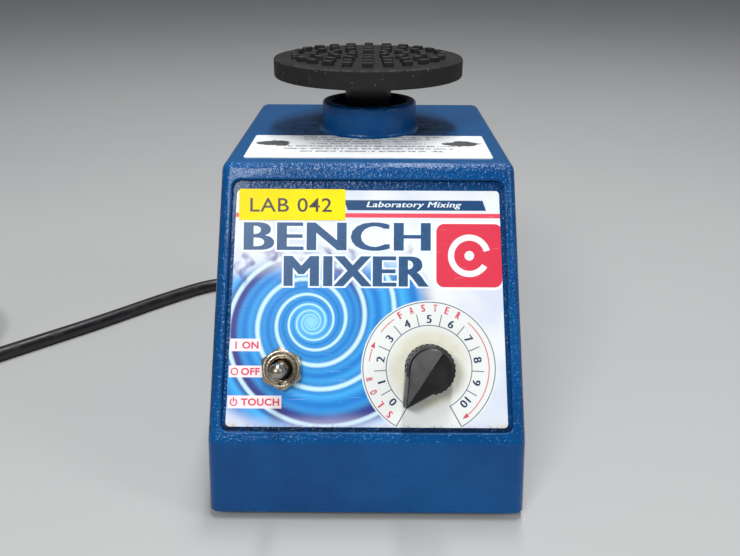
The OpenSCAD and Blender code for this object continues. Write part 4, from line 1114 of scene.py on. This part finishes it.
def worn_pad():
    """The platform's rubber: charcoal, greyer on what rubs, with chalky dust in between."""
    paint = Paint("worn_platform_rubber", {"Specular IOR Level": 0.25})
    where = paint.place()
    z = paint.axes(where)[2]
    skin = paint.noise(where, 1.8, 4, 0.65)
    patch = paint.noise(where, 0.09, 3, 0.6).step(0.35, 0.7)
    upright = paint.axes(paint.node("NewGeometry", output="Normal"))[2]
    colour = paint.blend(patch * 0.5, srgb(26, 26, 25), srgb(40, 40, 38))
    tops = z.step(cover_high.z - 0.5, cover_high.z - 0.1) * upright.step(0.7, 0.95)
    colour = paint.blend(tops * (0.15 + 0.4 * skin), colour, srgb(70, 69, 65))
    rim = z.step(PAD_TOP - 1, PAD_TOP - 0.3) * z.step(PAD_TOP + 0.1, PAD_TOP - 0.05)
    rim = rim * upright.step(0.98, 0.6) * paint.noise(where, 0.5, 3).step(0.35, 0.65)
    colour = paint.blend(rim * 0.4, colour, srgb(96, 94, 88))
    dust = paint.cells(where, 0.7).step(0.17, 0.05) * paint.noise(where, 0.25, 2).step(0.48, 0.6)
    colour = paint.blend(dust * 0.65, colour, srgb(175, 173, 165))
    return paint.finish(colour, 0.62 + 0.2 * skin + 0.1 * dust, skin, 0.12, 0.8)


# %% Finish for every slot
FINISHES = {
    "cast_paint": enamel(),
    "grey_rubber": worn_pad(),
    "nickel": metal("aged_nickel", srgb(176, 168, 152), srgb(74, 58, 38), 0.26, (0.5, 0.5, 3), 0.8, 0.03),
    "zinc_steel": metal("zinc_plated_steel", srgb(205, 205, 198), srgb(120, 116, 96), 0.32),
    "plate_steel": metal("rolled_steel_sheet", srgb(150, 154, 158), srgb(78, 76, 72), 0.38, (0.3, 6, 0.6)),
    "ground_steel": metal("ground_steel", srgb(190, 190, 190), srgb(90, 88, 84), 0.2, (3, 3, 0.4), 0.3),
    "brass": metal("turned_brass", srgb(212, 176, 96), srgb(120, 84, 40), 0.25, (0.5, 0.5, 5), 0.4),
    "bronze": metal("sintered_bronze", srgb(170, 122, 76), srgb(88, 58, 34), 0.45, (2, 2, 2), 0.5, 0.03),
    "copper": metal("lacquered_copper_wire", srgb(186, 92, 48), srgb(92, 36, 20), 0.3, (5, 0.4, 0.4),
                    0.5, 0.08),
    "laminations": metal("stacked_laminations", srgb(120, 122, 126), srgb(60, 52, 46), 0.42, (0.2, 0.2, 8),
                         0.5, 0.05),
    "cast_alloy": metal("cast_alloy", srgb(168, 170, 172), srgb(96, 96, 94), 0.5, (1.4, 1.4, 1.4), 0.4, 0.06),
    "black_rubber": moulded("black_rubber", srgb(14, 14, 15), srgb(34, 34, 34), 0.6, 2, 0.05, 0.25),
    "black_plastic": moulded("moulded_black_plastic", srgb(13, 13, 14), srgb(20, 20, 20), 0.44, 3,
                             0.012, 0.12),
    "switch_case": moulded("phenolic_case", srgb(44, 34, 30), srgb(70, 56, 48), 0.45, 1.6, 0.02),
    "green_board": moulded("green_circuit_board", srgb(20, 92, 52), srgb(30, 120, 66), 0.3, 0.8, 0.02),
    "film_capacitor": moulded("film_capacitor_case", srgb(196, 140, 40), srgb(170, 112, 30), 0.3, 1, 0.02),
    "green_plastic": moulded("terminal_green_plastic", srgb(24, 120, 60), srgb(40, 140, 76), 0.4, 1.5, 0.02),
    "red_plastic": moulded("red_button_plastic", srgb(180, 24, 24), srgb(150, 20, 20), 0.35, 1.5, 0.02),
    "nylon": moulded("natural_nylon", srgb(226, 222, 206), srgb(205, 198, 176), 0.45, 1.5, 0.02),
    "cord_jacket": moulded("rubber_cord_jacket", srgb(20, 20, 22), srgb(40, 40, 42), 0.42, 1.2, 0.04, 0.15)}

# %% [markdown]
# ### Printed panel label
# The label is printed film. Its picture is worked out in the panel's own frame: a Mapping node turns
# the point so that x and s run along the panel. Each printed shape is a mask, 1 inside and 0 outside,
# made from a distance, and the colours are laid over each other like the inks of a print.

# %% Masks
def away_from(x, s, centre_x, centre_s):
    dx = x - centre_x
    ds = s - centre_s
    return (dx * dx + ds * ds).root()


def inside_block(x, s, left, right, low, high, corner=0.0, soft=0.15):
    """1 inside a rectangle with rounded corners."""
    across = abs(x - (left + right) / 2) - ((right - left) / 2 - corner)
    up = abs(s - (low + high) / 2) - ((high - low) / 2 - corner)
    if corner:
        across, up = across.most(0), up.most(0)
        return ((across * across + up * up).root() - corner).step(soft, -soft)
    return across.most(up).step(soft, -soft)


def ring_line(reach, radius, thick=0.35, soft=0.12):
    """A thin circle."""
    return abs(reach - radius).step(thick / 2 + soft, thick / 2 - soft)


# %% Swirl
SWIRL = (-21.2, 45.2)
ARMS = 2
GROWTH = 2.4


def swirl(paint, x, s):
    """A two-armed spiral of water: pale lines, dark troughs, and a purple shadow far out."""
    reach = away_from(x, s, *SWIRL)
    angle = (s - SWIRL[1]).angle(x - SWIRL[0]) / (2 * math.pi)
    far = reach.most(0.5)
    growth = far.maths("LOGARITHM", far, GROWTH)
    phase = (growth - angle) * ARMS
    wave = (phase + 8.15).to_nearest(0.5)
    apart = wave * reach * (math.log(GROWTH) / ARMS) / (0.3 + 0.7 * reach.step(2, 20))
    beside = apart.step(3.6, 1.5) * reach.step(5, 10)
    line = apart.step(1.35, 0.25)
    trough = wave.step(0.2, 0.5)
    colour = paint.blend(trough, srgb(64, 172, 238), srgb(24, 122, 204))
    colour = paint.blend(beside * 0.55, colour, srgb(16, 104, 184))
    slow = (growth - angle + 8.62).to_nearest(0.5)
    shadow = slow.step(0.16, 0.04) * reach.step(15, 24)
    colour = paint.blend(shadow * 0.9, colour, srgb(40, 44, 132))
    colour = paint.blend(slow.step(0.07, 0) * reach.step(22, 30) * 0.5, colour, srgb(70, 48, 116))
    colour = paint.blend(line * 0.92, colour, srgb(206, 240, 255))
    return paint.blend(reach.step(9, 1.5) * 0.75, colour, srgb(120, 204, 248))


# %% Dial scale
R_IN, R_OUT = 16.15, 24.9
STEP_DEGREES = 26.6
END_DEGREES = 150.6


def dial_marks(x, s):
    """The lines of the scale, and the disc they are printed on."""
    reach = away_from(x, s, DIAL_X, DIAL_UP)
    around = (x - DIAL_X).angle(s - DIAL_UP) * (180 / math.pi)
    spread = abs(around)
    arc_part = spread.step(END_DEGREES + 0.4, END_DEGREES)
    circles = (ring_line(reach, R_IN).most(ring_line(reach, R_OUT))) * arc_part
    nearest = (around + STEP_DEGREES / 2 + 10 * STEP_DEGREES).to_nearest(STEP_DEGREES / 2)
    sideways = nearest * reach * (math.pi / 180)
    ticks = sideways.step(0.28, 0.08) * reach.step(R_IN - 0.1, R_IN) * reach.step(R_IN + 4.6, R_IN + 4.5)
    ticks = ticks * spread.step(122, 121)
    ends = (abs(spread - END_DEGREES) * reach * (math.pi / 180)).step(0.3, 0.1)
    ends = ends * reach.step(R_IN - 0.1, R_IN) * reach.step(R_OUT + 0.1, R_OUT)
    return reach, around, circles.most(ticks).most(ends)


# %% The printed film
WORD_BOXES = [(-51.6, -40.3, 34.1, 38.8), (-52, -39, 24.3, 28.7), (-52.4, -32.1, 12.7, 17.5)]
BADGE_X, BADGE_S = 38.5, 70.6


def printed_film():
    gloss = {"Coat Weight": 0.1, "Coat Roughness": 0.15, "Specular IOR Level": 0.3}
    paint = Paint("printed_panel_film", gloss)
    where = paint.place()
    x, s = paint.axes(paint.on_panel())[:2]
    wobble = paint.noise(where, 0.05, 2, 0.5)
    paper = paint.blend(wobble.step(0.35, 0.65), srgb(230, 234, 233), srgb(221, 226, 230))
    reach = away_from(x, s, *SWIRL)
    edge_noise = (paint.noise(where, 0.06, 2) - 0.5) * 10
    colour = paint.blend(wobble.step(0.3, 0.7), srgb(230, 234, 236), srgb(208, 216, 232))
    ink = (reach + edge_noise * 0.6).step(49, 40)
    ink = ink * (x + edge_noise * 0.4).step(31, 21) * (s + edge_noise * 0.4).step(74, 60)
    corner = (s - x * 0.55 + edge_noise * 0.3).step(94, 86)
    colour = paint.blend(ink * corner, colour, swirl(paint, x, s))
    lilac = (s + edge_noise * 0.3).step(12, 5) * 0.55
    colour = paint.blend(lilac, colour, srgb(206, 212, 240))
    bruise = paint.noise(where, 0.11, 2, 0.6, 0.6).step(0.5, 0.68)
    bruise = bruise * s.step(57, 63) * s.step(77, 70) * x.step(24, 18)
    colour = paint.blend(bruise * 0.75, colour, srgb(74, 66, 140))
    bar = inside_block(x + s * 0.35, s, 23, 75.6, 87.7, 91.6)
    colour = paint.blend(bar, colour, srgb(12, 66, 112))
    colour = paint.blend(inside_block(x, s, -60, 60, 84.9, 86.6), colour, srgb(226, 70, 92))
    side = inside_block(x, s, 26, 51, 58.6, 82.7, 3)
    colour = paint.blend(inside_block(x, s, 25, 52, 57.6, 83.7, 4) * (1 - side), colour, srgb(242, 244, 250))
    colour = paint.blend(side, colour, srgb(216, 52, 76))
    pip = away_from(x, s, BADGE_X, BADGE_S)
    turned_by = (s - BADGE_S).angle(x - BADGE_X)
    loop = ring_line(pip, 6.9, 2.3) * turned_by.step(0.25, 0.3).most(turned_by.step(-0.55, -0.6))
    colour = paint.blend(loop.most(ring_line(pip, 0.9, 1.8)), colour, srgb(250, 240, 242))
    for sides in WORD_BOXES:
        colour = paint.blend(inside_block(x, s, *sides), colour, srgb(246, 230, 234))
    dial_reach, around, lines = dial_marks(x, s)
    disc = dial_reach.step(R_OUT + 0.75, R_OUT + 0.6)
    cream = paint.blend(dial_reach.step(17, 12), srgb(228, 232, 230), srgb(222, 222, 210))
    stain = paint.noise(where, 0.2, 3, 0.6).step(0.35, 0.7) * abs(dial_reach - 11).step(5.5, 1)
    cream = paint.blend(stain * 0.35, cream, srgb(205, 196, 150))
    colour = paint.blend(disc, colour, cream)
    colour = paint.blend(lines * 0.9, colour, srgb(46, 66, 92))
    arcs = ring_line(dial_reach, 22.6, 0.42)
    long_arc = abs(around - 90.5).step(50.5, 50)
    short_arcs = (abs(around + 44.5).step(9, 8.5)).most(abs(around + 77.5).step(6.5, 6))
    colour = paint.blend(arcs * long_arc.most(short_arcs) * 0.9, colour, srgb(214, 92, 108))
    corners = abs(x).step(43, 52) * abs(s - 50.5).step(40, 45)
    yellow = paint.noise(where, 0.3, 3).step(0.35, 0.6) * corners
    colour = paint.blend(yellow * 0.5, colour, srgb(206, 196, 150))
    grime = paint.noise(where, 0.35, 4, 0.7).step(0.45, 0.7)
    colour = paint.blend(s.step(7.6, 5.9) * grime * 0.55, colour, srgb(120, 122, 116))
    scratch = paint.noise(paint.place(scale=(160, 3200, 1500)), 1, 2, 0.5).step(0.66, 0.74)
    colour = paint.blend(scratch * 0.12, colour, srgb(250, 250, 250))
    specks = paint.cells(where, 0.35).step(0.06, 0.03) * paint.noise(where, 0.2).step(0.5, 0.6)
    colour = paint.blend(specks * 0.5, colour, srgb(96, 92, 80))
    rough = 0.32 + 0.14 * wobble + 0.15 * scratch
    return paint.finish(colour, rough, paint.noise(where, 0.8, 2), 0.02, 0.5)


FINISHES["print_film"] = printed_film()

# %% Top label and tag
def top_film():
    """A white label with rows of small print, drawn as words too small to read."""
    paint = Paint("white_instruction_film", {"Specular IOR Level": 0.3})
    where = paint.place()
    x, y = paint.axes(where)[:2]
    rows = [(4.4, 30, 1.5), (0.6, 27, 1.3), (-3.3, 20, 1.5), (-7.2, 24, 1.3),
            (-11.4, 38, 1.9), (-15.6, 34, 1.9), (-19.8, 30, 1.9)]
    ink = 0
    for row, half, tall in rows:
        coarse = paint.place(scale=(620, 40, 0), location=(row * 9, row, 0))
        close = paint.place(scale=(2300, 900, 0), location=(row * 5, 0, 0))
        words = paint.noise(coarse, 1, 1, 0.4).step(0.4, 0.46)
        letters = paint.noise(close, 1, 1, 0.5).step(0.42, 0.52)
        line = inside_block(x, y, -half, half, row - tall / 2, row + tall / 2, 0, 0.2) * words * letters
        ink = line.most(ink)
    for side in (-1, 1):
        blob = away_from(x * 0.55, y, side * 39 * 0.55, -6.5)
        rough_edge = paint.noise(where, 0.22, 3, 0.6) * 7
        hand = (blob + rough_edge).step(8, 7) * abs(y + 6).step(7, 6)
        ink = hand.most(ink)
    faded = paint.noise(where, 0.09, 3, 0.6)
    paper = paint.blend(faded.step(0.35, 0.7), srgb(240, 242, 244), srgb(222, 226, 230))
    colour = paint.blend(ink * 0.92, paper, srgb(26, 26, 28))
    # Darker grey patches on the back part of the label, under the platform.
    dark_patches = paint.noise(where, 0.5, 4, 0.7).step(0.58, 0.7) * y.step(-2, 8)
    colour = paint.blend(dark_patches * 0.6, colour, srgb(96, 98, 100))
    return paint.finish(colour, 0.42 + 0.2 * faded, faded, 0.05, 0.4)


def tag_paper():
    paint = Paint("yellow_tag_tape", {"Specular IOR Level": 0.15})
    where = paint.place()
    fibre = paint.noise(where, 1.6, 3, 0.6)
    broad = paint.noise(where, 0.08, 2)
    colour = paint.blend(broad.step(0.35, 0.65), srgb(246, 224, 0), srgb(240, 214, 0))
    return paint.finish(colour, 0.36 + 0.15 * fibre, broad + 0.2 * fibre, 0.05, 0.5)


FINISHES["white_film"] = top_film()
FINISHES["tag_paper"] = tag_paper()

# %% [markdown]
# ### Letters and digits
# The larger words are text objects with a little thickness, made meshes and laid on the label like
# raised ink. Text is measured after it becomes a mesh and scaled to the width and height it has on
# the panel. An offset makes the strokes heavier, and a paler, wider copy below gives an outline.

# %% Inks
def print_ink(name, colour, other):
    """Printed ink, a little uneven where it was laid on."""
    paint = Paint(name, {"Coat Weight": 0.2})
    where = paint.place()
    even = paint.noise(where, 0.7, 3, 0.6)
    pores = paint.cells(where, 1.4).step(0.12, 0.03) * even.step(0.45, 0.6)
    colour = paint.blend(even.step(0.3, 0.7), colour, other)
    colour = paint.blend(pores * 0.35, colour, srgb(150, 165, 185))
    return paint.finish(colour, 0.34 + 0.12 * even, even, 0.01, 0.4)


INKS = {
    "navy": print_ink("navy_ink", srgb(8, 66, 112), srgb(14, 78, 128)),
    "ink_blue": print_ink("dark_blue_ink", srgb(10, 44, 82), srgb(16, 52, 92)),
    "pale": print_ink("pale_outline_ink", srgb(222, 236, 248), srgb(236, 244, 252)),
    "red": print_ink("red_ink", srgb(208, 52, 76), srgb(220, 66, 90)),
    "black": print_ink("black_ink", srgb(22, 22, 20), srgb(34, 32, 28))}
LABEL_TOP, TAG_TOP = -1.6, -1.4


def dress(piece, finish):
    """Gives a piece one material."""
    piece.data.materials.clear()
    piece.data.materials.append(finish)


def printed(piece, ink):
    """A mark on the panel's label."""
    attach(piece, "base")
    dress(piece, INKS[ink])
    return piece


def round_dial(reach, degrees):
    """A place on the panel, so far from the dial's middle, at an angle clockwise from the top."""
    turn = math.radians(degrees)
    return DIAL_X + reach * math.sin(turn), DIAL_UP + reach * math.cos(turn)


def lettering(name, words, ink, x, s, height, width=None, weight=0.0, lift=0.02, thick=0.03,
              h=LABEL_TOP, turn=0, shear=0.0, spacing=1.06):
    """Words centred on a place of the panel, with their height and width in millimetres."""
    start()
    bpy.ops.object.text_add()
    text = bpy.context.object
    text.data.body = words
    text.data.size = 1
    text.data.offset = weight
    text.data.space_character = spacing
    text.data.shear = shear
    text.data.resolution_u = 4
    text.data.extrude = 0.02
    bpy.ops.object.convert(target="MESH")
    piece = added(name)
    corners = [vertex.co for vertex in piece.data.vertices]
    low = Vector([min(corner[i] for corner in corners) for i in range(3)])
    high = Vector([max(corner[i] for corner in corners) for i in range(3)])
    middle, size = (low + high) / 2, high - low
    tall = height / size.y
    wide = width / size.x if width else tall
    fit = Matrix.Diagonal((wide * MM, tall * MM, thick / size.z * MM, 1)) @ Matrix.Translation(-middle)
    place(piece, at_panel(x, s, h + lift + thick / 2, turn) @ fit)
    clean(piece)
    return printed(piece, ink)


# %% Title, in two rows
LAYER_STEP = 0.004


def heavy(name, words, ink, x, s, height, width, shifts, lift=0.02, shear=0.0):
    """Heavier letters: copies of the same words, a little to each side of each other."""
    layers = []
    for i, (across, up) in enumerate(shifts):
        level = lift + LAYER_STEP * i
        at = (x + across, s + up)
        layers.append(lettering(name, words, ink, *at, height, width, 0, level, 0.02, shear=shear))
    return joined(name, layers)


def title(name, words, x, s, width, height):
    """A row of the title: navy letters with thick uprights, and a pale edge all round."""
    thick = (-0.85, -0.43, 0, 0.43, 0.85)
    edge = [(across, up) for across in (-1.5, -0.75, 0, 0.75, 1.5) for up in (-0.65, 0.65)]
    heavy(name + "_outline", words, "pale", x, s, height, width - 1.7, edge, 0)
    return heavy(name, words, "navy", x, s, height, width - 1.7, [(across, 0) for across in thick], 0.045)


title("title_upper", "BENCH", -11.6, 77.7, 71, 10.8)
title("title_lower", "MIXER", -4.3, 64.5, 55, 11.4)
heavy("header_words", "Laboratory Mixing", "pale", 17.5, 89.65, 2.8, 36, [(-0.1, 0), (0.1, 0)], 0, 0.25)
print("title printed")

# %% Switch positions
lettering("on_mark", "I", "red", -49.4, 36.4, 2.7, 0.55, 0.03)
lettering("on_word", "ON", "red", -44, 36.4, 2.75, 6.2, 0.03)
lettering("off_word", "OFF", "red", -43.9, 26.5, 2.75, 7, 0.03)
lettering("touch_word", "TOUCH", "red", -40.1, 15.1, 2.75, 14.4, 0.03)


def small_ring(name, x, s, radius, gap=0):
    """A thin printed ring, open at the top by some degrees."""
    start()
    bpy.ops.mesh.primitive_torus_add(major_radius=radius * MM, minor_radius=0.22 * MM,
                                     major_segments=40, minor_segments=6)
    ring = added(name)
    edit(ring)
    bpy.ops.transform.resize(value=(1, 1, 0.1))
    start()
    if gap:
        wedge = drum(radius * 0.55, -1, 1, 4)
        place(wedge, shift(0, radius, 0))
        carve(ring, wedge)
    place(ring, at_panel(x, s, LABEL_TOP + 0.03))
    return printed(ring, "red")


small_ring("off_mark", -49.9, 26.5, 1.2)
small_ring("touch_mark", -50.1, 15, 1.2, 60)
lettering("touch_mark_bar", "I", "red", -50.1, 16, 1.7, 0.45, 0.03)

# %% Digits and words round the dial
def bold_on_arc(name, words, ink, x, s, height, width, degrees, spread):
    """Two copies side by side along the arc make the strokes heavier."""
    along = (math.cos(math.radians(degrees)), -math.sin(math.radians(degrees)))
    layers = []
    for side in (-1, 1):
        at = (x + side * spread * along[0], s + side * spread * along[1])
        level = 0.02 + LAYER_STEP * side
        layers.append(lettering(name, words, ink, *at, height, width, lift=level, turn=-degrees, spacing=1))
    return joined(name, layers)


DIGIT_REACH = 18.55
for number in range(11):
    degrees = (number - 5) * STEP_DEGREES
    x, s = round_dial(DIGIT_REACH, degrees)
    bold_on_arc("digit_%d" % number, str(number), "ink_blue", x, s, 3.05, None, degrees, 0.14)


def round_word(name, word, middle, apart, reach=22.75):
    """A word whose letters stand round the dial."""
    for i, letter in enumerate(word):
        degrees = middle + (i - (len(word) - 1) / 2) * apart
        x, s = round_dial(reach, degrees)
        bold_on_arc("%s_%d" % (name, i), letter, "red", x, s, 2.7, 1.2, degrees, 0.17)


round_word("slow_letter", "SLOW", -120, 13)
round_word("faster_letter", "FASTER", 0, 11.5)


def arrowhead(name, degrees, size=1.6, reach=22.6):
    """A small printed triangle on an arc, pointing clockwise."""
    start()
    bpy.ops.mesh.primitive_cylinder_add(vertices=3, radius=size * MM, depth=0.04 * MM)
    head = added(name)
    edit(head)
    bpy.ops.transform.resize(value=(0.62, 1, 1))
    start()
    x, s = round_dial(reach, degrees)
    place(head, at_panel(x, s, LABEL_TOP + 0.03, -degrees - 90))
    return printed(head, "red")


arrowhead("arrow_to_fast", -68)
arrowhead("arrow_at_end", 142)
lettering("tag_number", "LAB 042", "black", -29.2, 89.6, 5.3, 31, 0.006, h=TAG_TOP)

# %% [markdown]
# ### Every part gets its finish
# The CAD nodes that stay in view or inside the casting take the finish of their own slot, and so do
# the new pieces, from the slot that each was given.

# %% Assign the finishes
for part in frame["record"]["subparts"]:
    dress(frame["nodes"][part["node"]], FINISHES[part["material_slot"]])
PIECES = [
    (housing, "cast_paint"), (toggle_nut, "nickel"), (toggle_bushing, "nickel"), (toggle_lever, "nickel"),
    (skirt, "black_plastic"), (pad, "grey_rubber"), (nubs, "grey_rubber"), (plate, "black_plastic"),
    (seal, "black_rubber"), (feet, "black_rubber"), (screws, "zinc_steel"), (relief, "cord_jacket"),
    (plug, "cord_jacket"), (plug_pins, "nickel"), (power_cord, "cord_jacket")]
for piece, slot_name in PIECES:
    dress(piece, FINISHES[slot_name])


def pale_floor():
    paint = Paint("pale_floor", {})
    where = paint.place(scale=(1, 1, 1))
    broad = paint.noise(where, 3, 3, 0.5)
    colour = paint.blend(broad, srgb(172, 173, 174), srgb(180, 180, 179))
    return paint.finish(colour, 0.6 + 0.1 * broad, broad, 0.2, 0.1)


dress(floor, pale_floor())
